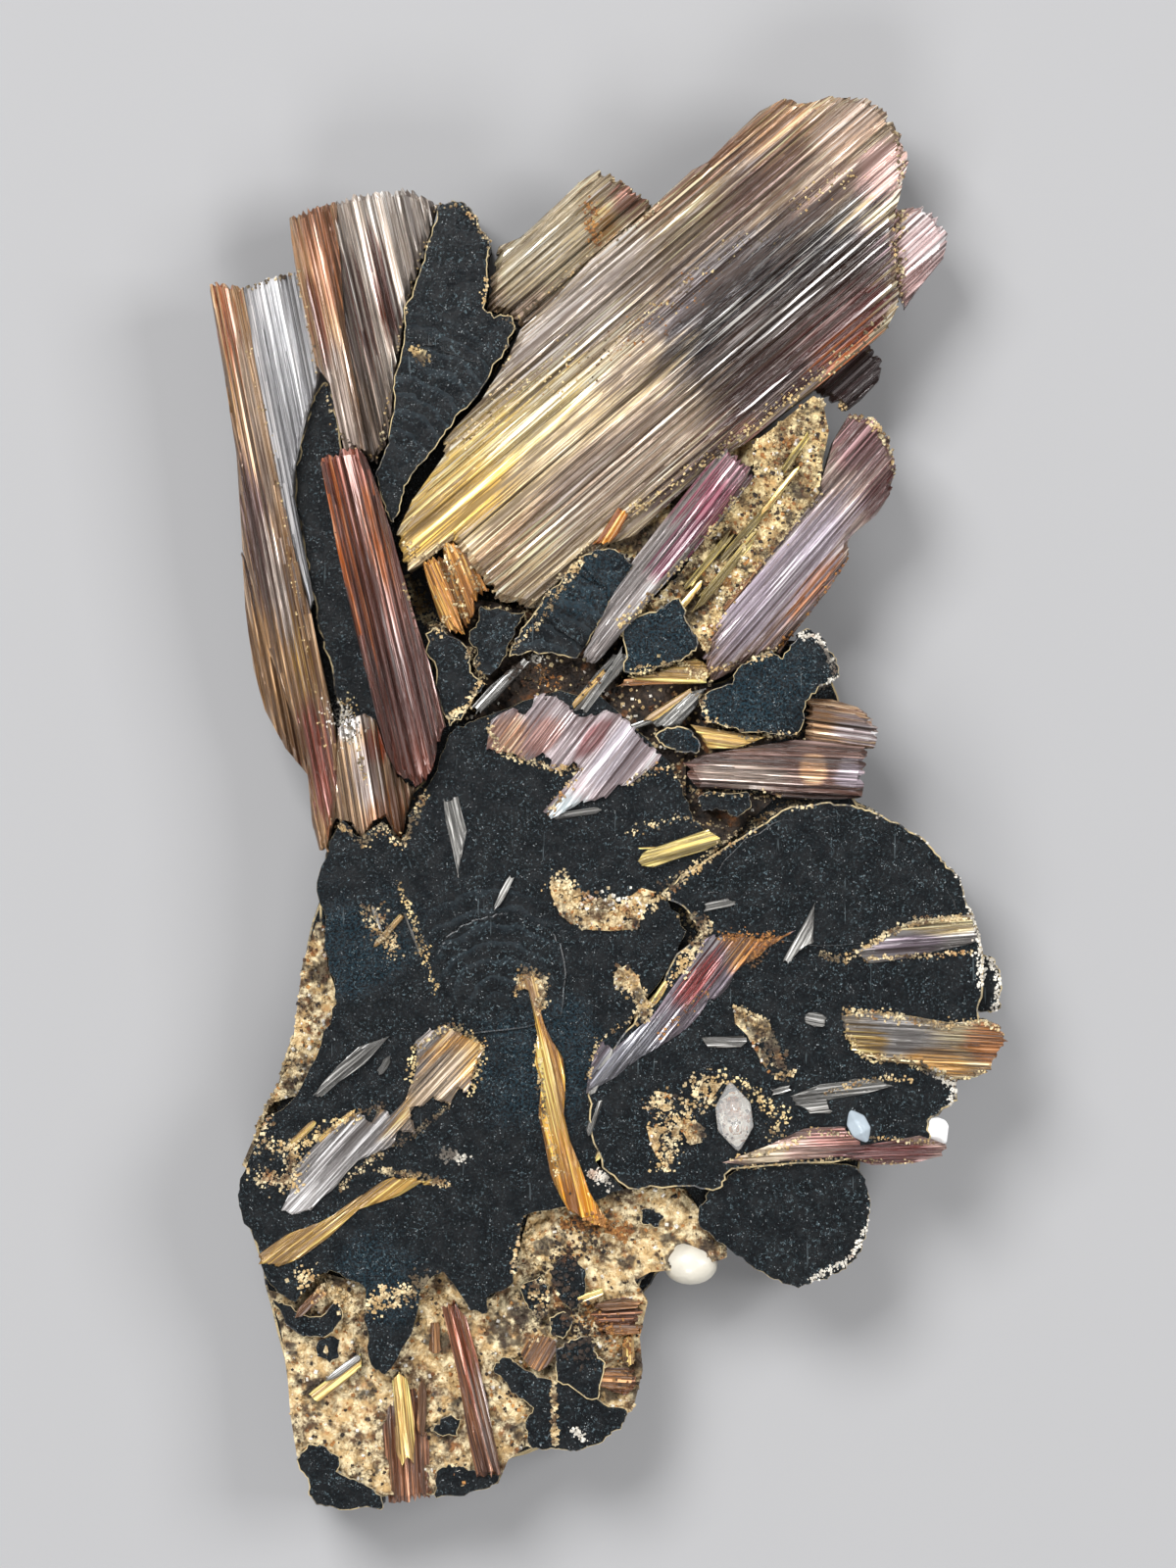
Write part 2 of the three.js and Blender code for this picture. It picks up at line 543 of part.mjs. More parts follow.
// The plates that stand in front of the clay and the blades
const FRONT_PLATES = [
  // The fin between the two upper groups of blades
  {
    low: BACK_LOW, high: 3.05,
    outline: [[446, 208], [458, 205], [471, 207], [484, 218], [496, 234], [502, 250], [497, 274],
      [494, 316], [502, 320], [522, 322], [525, 333], [519, 352], [504, 380], [484, 407], [463, 431],
      [449, 453], [428, 477], [414, 498], [408, 520], [401, 536], [392, 516], [383, 482], [394, 462],
      [401, 420], [403, 384], [411, 350], [412, 320], [422, 294], [434, 256], [442, 226]],
    ledges: [{
      rise: 0.06,
      outline: [[370, 360], ...arc(440, 420, 72, 100, 30, 6), [520, 400], [520, 560], [370, 560]],
    }],
  },
  // The fin behind the red column
  {
    low: BACK_LOW, high: 2.12,
    outline: [[328, 387], [337, 394], [342, 424], [349, 462], [372, 520], [392, 600], [400, 668],
      [420, 740], [440, 800], [400, 830], [350, 790], [344, 720], [338, 688], [324, 640], [314, 592],
      [307, 548], [299, 505], [301, 472], [308, 438], [319, 404]],
  },
  // The small plates above the rosette
  {
    low: ON_CORE, high: 3.0,
    outline: [[434, 646], [446, 641], [463, 648], [480, 663], [478, 685], [497, 697], [480, 720],
      [468, 733], [457, 742], [448, 712], [440, 676]],
  },
  {
    low: ON_CORE, high: 3.04,
    outline: [[490, 617], [500, 622], [536, 625], [526, 642], [516, 668], [500, 692], [484, 682],
      [488, 665], [476, 650], [486, 640]],
  },
  {
    low: ON_CORE, high: 3.1,
    outline: [[598, 563], [612, 558], [633, 562], [648, 575], [636, 597], [620, 620], [616, 634],
      [602, 654], [592, 671], [562, 669], [540, 665], [518, 672], [524, 652], [540, 630], [560, 606],
      [580, 580]],
    ledges: [
      { rise: 0.12, outline: [...arc(565, 652, 74, 100, -30, 9), [500, 690], [500, 600]] },
      { rise: 0.2, outline: [...arc(552, 668, 44, 110, -10, 7), [500, 690], [510, 650]] },
    ],
  },
  {
    low: ON_CORE, high: 3.12,
    outline: [[636, 646], [642, 632], [668, 621], [691, 608], [698, 618], [707, 644], [714, 661],
      [700, 670], [672, 682], [648, 689], [636, 684]],
  },
  {
    low: ON_BACK, high: 3.06,
    outline: [[714, 733], [713, 716], [724, 704], [748, 697], [746, 685], [768, 673], [788, 663],
      [800, 670], [812, 650], [822, 640], [842, 653], [853, 674], [858, 690], [836, 702], [823, 716],
      [820, 742], [808, 751], [780, 750], [742, 743]],
  },
  {
    low: ON_CORE, high: 2.96,
    outline: [[670, 750], [678, 742], [694, 740], [708, 747], [717, 760], [710, 769], [688, 768],
      [674, 759]],
  },
  {
    low: ON_CORE, high: 2.9,
    outline: [[712, 812], [726, 808], [762, 808], [768, 822], [752, 834], [734, 826], [716, 828]],
  },
  // The domed lobe, with the band below it and its ear
  {
    low: ON_BACK, high: 3.14,
    outline: [[672, 913], [702, 887], [732, 868], [766, 848], [800, 824], [838, 819], [878, 821],
      ...arc(838, 982, 164, 68, 2, 8), [1002, 1002], [1001, 1040], [990, 1100], [978, 1106], [977, 1122],
      [964, 1134], [946, 1142], [948, 1165], [920, 1178], [740, 1193], [736, 1215], [700, 1212],
      [640, 1214], [614, 1192], [601, 1150], [601, 1108], [632, 1058], [662, 1018], [690, 974], [716, 952],
      [700, 930]],
    ledges: [{
      rise: 0.05,
      outline: [[720, 950], [734, 876], [800, 834], [880, 832], ...arc(838, 982, 148, 62, 20, 5),
        [860, 970]],
    }],
  },
  {
    low: 1.4, high: 2.7,
    outline: [[996, 974], [1013, 973], [1021, 988], [1024, 1008], [1021, 1030], [996, 1036]],
  },
  // The lobe below it
  {
    low: ON_BACK, high: 2.9,
    outline: [[745, 1196], [772, 1186], ...arc(808, 1236, 80, 38, -64, 9), [838, 1305], [814, 1313],
      [790, 1306], [760, 1287], [736, 1270], [714, 1250], [712, 1232], [728, 1210]],
  },
  // The toes
  {
    low: ON_BACK, high: 2.85,
    outline: [[566, 1410], [568, 1380], [577, 1367], [596, 1361], [608, 1370], [612, 1383], [620, 1393],
      [610, 1432], [578, 1416]],
  },
  {
    low: ON_BACK, high: 2.75,
    outline: [[502, 1396], [512, 1387], [528, 1389], [548, 1403], [580, 1413], [612, 1430], [641, 1443],
      [636, 1457], [620, 1468], [598, 1479], [580, 1483], [560, 1478], [540, 1478], [538, 1452],
      [544, 1436], [526, 1424], [514, 1408]],
  },
  {
    low: ON_BACK, high: 2.7,
    outline: [[303, 1492], [312, 1474], [328, 1473], [346, 1490], [342, 1501], [366, 1515], [390, 1524],
      [391, 1540], [350, 1542], [324, 1538], [312, 1527], [313, 1510]],
  },
  {
    low: ON_BACK, high: 2.6,
    outline: [[443, 1500], [460, 1496], [478, 1500], [500, 1504], [512, 1508], [500, 1521], [470, 1527],
      [443, 1532]],
  },
].map(plate);

// Small rutile crystals set into the hematite and fused to it
const SLIVERS = [
  {
    axis: 60, low: ON_FACE, high: 3.3, seed: 33,
    outline: [[797, 980], [815, 948], [832, 920], [830, 964], [814, 972], [804, 986]],
  },
  {
    axis: 6, low: ON_FACE, high: 3.26, seed: 37,
    outline: [[806, 1118], [836, 1106], [872, 1100], [898, 1100], [912, 1108], [880, 1117], [846, 1122],
      [850, 1136], [826, 1136], [810, 1128]],
  },
  {
    axis: 40, low: ON_FACE, high: 3.12, seed: 40,
    outline: [[318, 1118], [344, 1088], [366, 1068], [398, 1057], [372, 1086], [346, 1104], [328, 1120]],
  },
  {
    axis: 103, low: ON_FACE, high: 3.12, seed: 42,
    outline: [[451, 816], [469, 812], [474, 834], [478, 848], [472, 874], [468, 896], [460, 868],
      [453, 838]],
  },
  {
    axis: 2, low: ON_CORE, high: 3.06, seed: 43,
    outline: [[636, 850], [672, 843], [702, 836], [716, 846], [700, 866], [676, 882], [656, 874],
      [644, 862]],
  },
  {
    axis: -2, low: ON_CORE, high: 2.95, seed: 46,
    outline: [[640, 690], [672, 684], [694, 675], [714, 670], [726, 684], [722, 698], [690, 698],
      [650, 696]],
  },
  {
    axis: -8, low: ON_CORE, high: 2.95, seed: 47,
    outline: [[704, 739], [744, 746], [782, 752], [752, 764], [722, 764], [714, 752]],
  },
  {
    axis: 48, low: ON_CORE, high: 3.12, seed: 48,
    outline: [[480, 723], [500, 699], [524, 679], [531, 686], [508, 712], [490, 728]],
  },
  {
    axis: 55, low: ON_CORE, high: 3.12, seed: 49,
    outline: [[586, 724], [606, 700], [624, 679], [635, 659], [639, 673], [618, 702], [598, 728]],
  },
  {
    axis: 44, low: ON_CORE, high: 2.98, seed: 50,
    outline: [[664, 740], [684, 720], [704, 706], [720, 702], [710, 722], [694, 740], [678, 744]],
  },
].map((sliver) => rutile({ pitch: 0.22, relief: 0.08, crown: 0.06, ...sliver }));

// The layers that carry it all, from the ledge that it lies on to the broad front face
const ROSETTE_LAYERS = [
  {
    low: 0, high: STAND_TOP,
    outline: [[330, 480], [410, 400], [450, 260], [480, 300], [480, 420], [560, 560], [680, 640],
      [800, 700], [850, 820], [940, 900], [960, 1060], [900, 1150], [840, 1240], [700, 1250], [600, 1430],
      [420, 1500], [320, 1440], [290, 1230], [340, 960], [350, 800], [320, 600]],
  },
  {
    low: BACK_LOW, high: BACK_TOP,
    outline: [[300, 470], [320, 392], [384, 370], [404, 330], [430, 240], [452, 212], [480, 226],
      [494, 250], [490, 320], [512, 350], [500, 420], [560, 540], [640, 570], [720, 620], [810, 650],
      [846, 664], [866, 740], [866, 806], [930, 856], ...arc(838, 982, 148, 30, 0, 3), [992, 1060],
      [950, 1150], [878, 1184], [870, 1256], [812, 1292], [742, 1266], [690, 1286], [648, 1336],
      [642, 1420], [592, 1470], [502, 1504], [400, 1528], [328, 1524], [300, 1420], [280, 1312],
      [250, 1236], [288, 1112], [312, 960], [334, 872], [330, 740], [306, 600]],
  },
  {
    low: ON_BACK, high: CORE_TOP,
    outline: [[343, 842], [432, 802], [440, 660], [486, 608], [540, 620], [592, 566], [640, 552],
      [696, 604], [722, 700], [800, 668], [846, 664], [826, 716], [868, 764], [868, 812], [930, 856],
      ...arc(838, 982, 152, 30, 0, 3), [992, 1060], [950, 1150], [878, 1184], [872, 1256], [812, 1296],
      [742, 1270], [664, 1294], [648, 1336], [644, 1430], [592, 1472], [514, 1492], [506, 1512],
      [400, 1530], [322, 1528], [298, 1440], [272, 1312], [246, 1230], [280, 1118], [302, 1040], [326, 940],
      [328, 880]],
  },
  {
    low: ON_CORE, high: FACE,
    outline: [[342, 850], [350, 839], [358, 846], [366, 858], [379, 845], [392, 838], [402, 854],
      [411, 860], [418, 832], [428, 814], [446, 788], [458, 749], [470, 740], [492, 733], [560, 704],
      [622, 716], [684, 780], [698, 810], [706, 836], [740, 862], [676, 912], [700, 950], [690, 975],
      [602, 1106], [602, 1150], [614, 1192], [640, 1214], [600, 1228], [532, 1240], [528, 1290],
      [520, 1312], [500, 1322], [496, 1341], [478, 1334], [452, 1294], [430, 1312], [422, 1356],
      [394, 1404], [378, 1394], [374, 1346], [370, 1312], [344, 1298], [326, 1298], [300, 1330],
      [274, 1312], [258, 1262], [241, 1230], [246, 1204], [268, 1146], [302, 1120], [334, 1052],
      [344, 1016], [334, 988], [331, 936], [322, 900]],
    ledges: [{ rise: 0.08, outline: [...arc(512, 1010, 78, 150, 35, 8), [580, 1040], [470, 1060]] }],
  },
].map(plate);

// The specimen

const IN_THE_HEMATITE = [
  ...QUARTZ, RED_COLUMN, PINK_COLUMN, STUB_PAIR, CROSS_BUNDLE, PURPLE_BUNDLE, INLAY_NORTHEAST, INLAY_EAST,
  INLAY_SOUTHEAST, BLOCK_EAST, WEST_BUNDLE, SOUTHWEST_BUNDLE, AMBER_FAN, SOUTH_COLUMN, TOE_COLUMN,
  BAR_SOUTHEAST, BAR_SOUTH,
];
const BEHIND_THE_PLATES = [MAIN_BLADE, RIGHT_BLADE, OCHRE_CRUST, CLAY_RIM, CLAY_BED, LEFT_FAN];

const specimen = new THREE.Group();

function place(name, finish, solid) {
  const material = new THREE.MeshStandardMaterial({ ...FINISHES[finish], flatShading: true });
  const mesh = new THREE.Mesh(geometryOf(largestBody(solid)), material);
  mesh.name = name;
  specimen.add(mesh);
}

// Each piece gives way to those in front of it, and the hematite's own plates lie between the two groups
const rooms = [];
function placeBehindRooms({ name, finish, solid, rooms: own }) {
  place(name, finish, cut(solid, rooms));
  rooms.push(...own);
}
IN_THE_HEMATITE.forEach(placeBehindRooms);
const inFrontOfBlades = [...FRONT_PLATES, ...SLIVERS];
const plates = cut(join(inFrontOfBlades.map((part) => part.solid)), rooms);
rooms.push(...inFrontOfBlades.map((part) => part.room));
const roomsInFront = IN_THE_HEMATITE.flatMap((part) => part.rooms);
BEHIND_THE_PLATES.forEach(placeBehindRooms);
const roomsBehind = BEHIND_THE_PLATES.flatMap((part) => part.rooms);
const layers = cut(join(ROSETTE_LAYERS.map((part) => part.solid)), [...roomsInFront, ...roomsBehind]);
place("hematite_rosette", "hematite", plates.add(layers));

// The origin: the middle of the box round the specimen, at its lowest face
const box = new THREE.Box3().setFromObject(specimen);
const middle = box.getCenter(new THREE.Vector3());
specimen.children.forEach((mesh) => mesh.geometry.translate(-middle.x, -middle.y, -box.min.z));

export default specimen;
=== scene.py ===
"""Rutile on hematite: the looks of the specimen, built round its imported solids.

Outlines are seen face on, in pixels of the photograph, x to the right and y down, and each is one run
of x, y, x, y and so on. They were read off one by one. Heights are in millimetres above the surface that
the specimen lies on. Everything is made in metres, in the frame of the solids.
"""

import logging
import math
import random
from collections.abc import Callable, Iterable, Sequence
from dataclasses import dataclass
from enum import Enum

import bmesh
import bpy
from mathutils import Matrix, Vector, noise
from mathutils.bvhtree import BVHTree


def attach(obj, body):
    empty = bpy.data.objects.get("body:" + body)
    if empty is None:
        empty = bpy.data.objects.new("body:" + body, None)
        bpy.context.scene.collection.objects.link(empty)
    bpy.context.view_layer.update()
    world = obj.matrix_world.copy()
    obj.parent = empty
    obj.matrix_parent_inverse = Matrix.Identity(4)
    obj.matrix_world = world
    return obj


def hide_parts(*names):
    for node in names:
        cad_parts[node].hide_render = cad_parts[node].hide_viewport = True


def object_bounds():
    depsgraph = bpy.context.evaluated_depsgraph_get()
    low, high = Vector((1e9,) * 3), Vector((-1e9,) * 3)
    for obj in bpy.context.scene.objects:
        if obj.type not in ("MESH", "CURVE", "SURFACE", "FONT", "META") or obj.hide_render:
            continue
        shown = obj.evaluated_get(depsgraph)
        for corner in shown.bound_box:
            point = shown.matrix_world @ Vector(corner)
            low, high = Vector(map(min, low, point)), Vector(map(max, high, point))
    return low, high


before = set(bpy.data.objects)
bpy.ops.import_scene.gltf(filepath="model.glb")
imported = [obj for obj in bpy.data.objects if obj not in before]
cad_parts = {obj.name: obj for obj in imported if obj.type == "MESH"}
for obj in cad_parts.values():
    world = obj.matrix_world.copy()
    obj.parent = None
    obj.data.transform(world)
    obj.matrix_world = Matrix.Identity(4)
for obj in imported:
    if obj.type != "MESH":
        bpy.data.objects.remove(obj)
CAD_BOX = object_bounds()

MM = 0.001
LENGTH = 28.9 * MM
LENGTH_IN_PIXELS = 1443
PIXEL = LENGTH / LENGTH_IN_PIXELS
ORIGIN_PIXEL = (620.0, 819.5)
BODY = "root"

CORE_TOP = 2.2
FACE = 3.0
POCKET = 2.55
BLADE_LOW = 1.3
BACK_LOW = 0.25
BACK_TOP = 1.0
STAND_TOP = 0.35
GRIP = 0.1
ON_BACK = BACK_TOP - GRIP
ON_CORE = CORE_TOP - GRIP
ON_FACE = FACE - GRIP

CUT_TOLERANCE = 1e-8
MERGE_DISTANCE = 1e-6
GRAINS_AT_ONCE = 60
NOISE_SEED = 11
GRAIN_SIDE = 1.5
BED_GRAINS = 2
SEAM_GRAINS = 1.7
CHIP_CORNERS = 12
FIRST_CHIP_SEED = 100
GRAIN_SIZES = (0.25, 1.2)
BED_GRAIN_SIZES = (0.35, 1.3)
EDGE_CUTS = 4
STEEP = 0.5
SIDEWAYS = 0.6
LEVEL = 0.9
FLAT_ANGLE = 0.02
DOWN = Vector((0, 0, -1))
X_AXIS, Y_AXIS, Z_AXIS = Vector((1, 0, 0)), Vector((0, 1, 0)), Vector((0, 0, 1))

Colour = tuple[float, float, float]
Outline = Sequence[float]

log = logging.getLogger("rutile_on_hematite")


def tone(code: int) -> Colour:
    """An sRGB colour, written as 0xRRGGBB, as linear light."""
    shares = [(code >> shift & 255) / 255 for shift in (16, 8, 0)]
    return tuple(s / 12.92 if s <= 0.04045 else ((s + 0.055) / 1.055) ** 2.4 for s in shares)


def place(x: float, y: float) -> tuple[float, float]:
    """A pixel of the photograph as x and y in metres."""
    return (x - ORIGIN_PIXEL[0]) * PIXEL, (ORIGIN_PIXEL[1] - y) * PIXEL


def points(outline: Outline) -> list[tuple[float, float]]:
    """The pixels of an outline, one by one."""
    return list(zip(outline[::2], outline[1::2]))


def arc(x: float, y: float, radius: float, start: float, end: float, pieces: int) -> list[float]:
    """Pixels on an arc.

    Args:
        x, y: Its centre.
        radius: Its radius.
        start, end: Its ends in degrees, 0 to the right and 90 up.
        pieces: How many straight pieces it has.

    Returns:
        Their x and y, in order.
    """
    turns = [math.radians(start + (end - start) * i / pieces) for i in range(pieces + 1)]
    return [value for a in turns for value in (x + radius * math.cos(a), y - radius * math.sin(a))]


def is_inside(x: float, y: float, outline: Outline) -> bool:
    """Says whether a pixel is inside an outline.

    Args:
        x, y: The pixel.
        outline: The outline.

    Returns:
        True inside it.
    """
    inside = False
    corners = points(outline)
    for (ax, ay), (bx, by) in zip(corners, [*corners[1:], corners[0]]):
        if (ay > y) != (by > y) and x < (bx - ax) * (y - ay) / (by - ay) + ax:
            inside = not inside
    return inside


def outline_face(bm: bmesh.types.BMesh, outline: Outline, height: float) -> bmesh.types.BMFace:
    """A flat face inside an outline, facing up.

    Args:
        bm: The mesh it goes in.
        outline: Its outline.
        height: Its height in millimetres.

    Returns:
        The face.
    """
    face = bm.faces.new([bm.verts.new((*place(x, y), height * MM)) for x, y in points(outline)])
    face.normal_update()
    if face.normal.z < 0:
        face.normal_flip()
    return face


def raise_face(bm: bmesh.types.BMesh, face: bmesh.types.BMFace, rise: float) -> list[bmesh.types.BMFace]:
    """Pulls a flat face up into a closed prism.

    Args:
        bm: The face's mesh.
        face: The face, which becomes the underside.
        rise: How far up, in metres.

    Returns:
        The top faces.
    """
    made = bmesh.ops.extrude_face_region(bm, geom=[face], use_keep_orig=True)["geom"]
    verts = [g for g in made if isinstance(g, bmesh.types.BMVert)]
    bmesh.ops.translate(bm, verts=verts, vec=(0, 0, rise))
    bmesh.ops.recalc_face_normals(bm, faces=bm.faces[:])
    return [g for g in made if isinstance(g, bmesh.types.BMFace)]


def slice_mesh(bm: bmesh.types.BMesh, direction: Vector, marks: Iterable[float]) -> None:
    """Cuts a mesh along parallel planes, and keeps all of it.

    Args:
        bm: The mesh.
        direction: The planes' normal.
        marks: The planes' distances from the origin along it, in metres.
    """
    for mark in marks:
        geometry = [*bm.verts, *bm.edges, *bm.faces]
        bmesh.ops.bisect_plane(
            bm, geom=geometry, plane_co=direction * mark, plane_no=direction, dist=CUT_TOLERANCE
        )


def steps(low: float, high: float, pitch: float) -> list[float]:
    """Marks between two values, about a pitch apart."""
    count = max(1, round((high - low) / pitch))
    return [low + (high - low) * i / count for i in range(1, count)]


def bevel(bm: bmesh.types.BMesh, edges: Iterable[bmesh.types.BMEdge], width: float, segments: int) -> None:
    """Bevels edges of a mesh.

    Args:
        bm: The mesh.
        edges: The edges.
        width: The bevel's width, in metres.
        segments: How many faces it is made of.
    """
    bmesh.ops.bevel(
        bm, geom=list(edges), offset=width, offset_type="OFFSET", segments=segments, profile=0.5,
        affect="EDGES", material=-1, clamp_overlap=True,
    )


def append_mesh(
    target: bmesh.types.BMesh, source: bmesh.types.BMesh, material: int | None = None
) -> None:
    """Adds a finished mesh to another, and frees it.

    Args:
        target: The mesh that grows.
        source: The mesh that is added.
        material: The material index that its faces get, or None to leave them.
    """
    if material is not None:
        for face in source.faces:
            face.material_index = material
    part = bpy.data.meshes.new("part")
    source.to_mesh(part)
    source.free()
    target.from_mesh(part)
    bpy.data.meshes.remove(part)


def finish_piece(
    name: str,
    bm: bmesh.types.BMesh,
    materials: Sequence[bpy.types.Material],
    replaces: Sequence[str] = (),
) -> bpy.types.Object:
    """Makes a mesh an object of the specimen, and frees it.

    Args:
        name: The piece's name.
        bm: Its mesh.
        materials: Its materials, in the order of its faces' indices.
        replaces: The solids that it stands for.

    Returns:
        The object.
    """
    bmesh.ops.triangulate(bm, faces=bm.faces[:])
    low, high = CAD_BOX
    for vert in bm.verts:
        vert.co = [min(max(value, low[i]), high[i]) for i, value in enumerate(vert.co)]
    mesh = bpy.data.meshes.new(name)
    bm.to_mesh(mesh)
    bm.free()
    for material in materials:
        mesh.materials.append(material)
    piece = bpy.data.objects.new(name, mesh)
    bpy.context.scene.collection.objects.link(piece)
    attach(piece, BODY)
    if replaces:
        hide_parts(*replaces)
    log.info("%s: %d faces", name, len(mesh.polygons))
    return piece


def add_grains(
    bm: bmesh.types.BMesh, spots: Sequence[tuple[Vector, float, int]], draw: random.Random
) -> None:
    """Adds small angular grains to a mesh.

    Args:
        bm: The mesh.
        spots: Each grain's middle, its radius in metres and its material index.
        draw: The random draws.
    """
    for start in range(0, len(spots), GRAINS_AT_ONCE):
        batch = bmesh.new()
        for spot, size, material in spots[start:start + GRAINS_AT_ONCE]:
            turn = Matrix.Rotation(draw.uniform(0, math.tau), 4, "Z")
            tilt = Matrix.Rotation(draw.uniform(0, 3), 4, "X")
            shape = Matrix.Diagonal((1, draw.uniform(0.6, 1), draw.uniform(0.45, 0.9), 1))
            matrix = Matrix.Translation(spot) @ turn @ tilt @ shape
            crumb = bmesh.ops.create_cube(batch, size=GRAIN_SIDE * size, matrix=matrix)
            for face in {face for vert in crumb["verts"] for face in vert.link_faces}:
                face.material_index = material
        append_mesh(bm, batch)


class Wiring:
    """The nodes of one material or node group, and the links between them."""

    def __init__(self, tree: bpy.types.NodeTree) -> None:
        """Starts on a node tree."""
        self.tree = tree

    def add(
        self, kind: str, inputs: dict[str | int, object] | None = None, **settings: object
    ) -> bpy.types.Node:
        """Adds a node.

        Args:
            kind: The node's type, without its ShaderNode prefix.
            inputs: A value or an output for each of its inputs.
            settings: Its properties.

        Returns:
            The node.
        """
        node = self.tree.nodes.new(f"ShaderNode{kind}")
        for name, value in settings.items():
            setattr(node, name, value)
        for key, value in (inputs or {}).items():
            self.fill(node.inputs[key], value)
        return node

    def fill(self, socket: bpy.types.NodeSocket, value: object) -> None:
        """Gives a socket its value, or links it to an output.

        Args:
            socket: The socket.
            value: A plain value, or the output of another node.
        """
        if isinstance(value, bpy.types.NodeSocket):
            self.tree.links.new(value, socket)
        else:
            socket.default_value = value

    def math(self, operation: str, a: object, b: object = 0.0, clamp: bool = False) -> bpy.types.NodeSocket:
        """The result of a sum on two values."""
        return self.add("Math", {0: a, 1: b}, operation=operation, use_clamp=clamp).outputs[0]

    def times(self, a: object, b: object) -> bpy.types.NodeSocket:
        """The product of two values."""
        return self.math("MULTIPLY", a, b)

    def here(self) -> bpy.types.NodeSocket:
        """The place on the object, in metres."""
        return self.add("TexCoord").outputs["Object"]

    def mix(self, share: object, a: object, b: object, blend: str = "MIX") -> bpy.types.NodeSocket:
        """Two colours mixed by a share.

        Args:
            share: How much of the second, from 0 to 1.
            a, b: The colours, or outputs that give them.
            blend: How they mix.

        Returns:
            The mixed colour.
        """
        a, b = ((*colour, 1.0) if isinstance(colour, tuple) else colour for colour in (a, b))
        return self.add(
            "Mix", {0: share, 6: a, 7: b}, data_type="RGBA", blend_type=blend, clamp_result=True
        ).outputs[2]

    def spread(
        self, value: object, low: float, high: float, to: tuple[float, float] = (0, 1)
    ) -> bpy.types.NodeSocket:
        """A value mapped smoothly from one range to another."""
        inputs = {"Value": value, "From Min": low, "From Max": high, "To Min": to[0], "To Max": to[1]}
        return self.add("MapRange", inputs, interpolation_type="SMOOTHSTEP").outputs[0]

    def stretch(self, vector: object, scale: tuple[float, float, float]) -> bpy.types.NodeSocket:
        """A vector multiplied axis by axis."""
        return self.add("VectorMath", {0: vector, 1: scale}, operation="MULTIPLY").outputs[0]

    def cloud(
        self, vector: object, scale: float, detail: float = 3.0, rough: float = 0.55
    ) -> bpy.types.NodeSocket:
        """Noise from 0 to 1."""
        inputs = {"Vector": vector, "Scale": scale, "Detail": detail, "Roughness": rough}
        return self.add("TexNoise", inputs).outputs[0]

    def group(self, shared: "Shared", **inputs: object) -> bpy.types.Node:
        """Places a shared group.

        Args:
            shared: Which of them.
            inputs: Its values, by socket name.

        Returns:
            The node.
        """
        node = self.tree.nodes.new("ShaderNodeGroup")
        node.node_tree = bpy.data.node_groups[shared.value]
        for name, value in inputs.items():
            self.fill(node.inputs[name], value)
        return node


class Shared(Enum):
    """The shared groups' names."""

    STRIAE = "striae"
    PATCH = "patch"
    ZONE = "zone"
    GRAIN = "grain"


def new_group(
    name: Shared, inputs: dict[str, str], outputs: dict[str, str]
) -> tuple[Wiring, Callable, Callable]:
    """Starts a shared group.

    Args:
        name: Its name.
        inputs, outputs: Its sockets, as name to kind.

    Returns:
        Its wiring, a function that gives an input by name, and one that sets an output by name.
    """
    tree = bpy.data.node_groups.new(name.value, "ShaderNodeTree")
    for way, sockets in (("INPUT", inputs), ("OUTPUT", outputs)):
        for socket, kind in sockets.items():
            tree.interface.new_socket(socket, in_out=way, socket_type=f"NodeSocket{kind}")
    entry = tree.nodes.new("NodeGroupInput")
    leave = tree.nodes.new("NodeGroupOutput")
    return Wiring(tree), entry.outputs.__getitem__, lambda key, out: tree.links.new(out, leave.inputs[key])


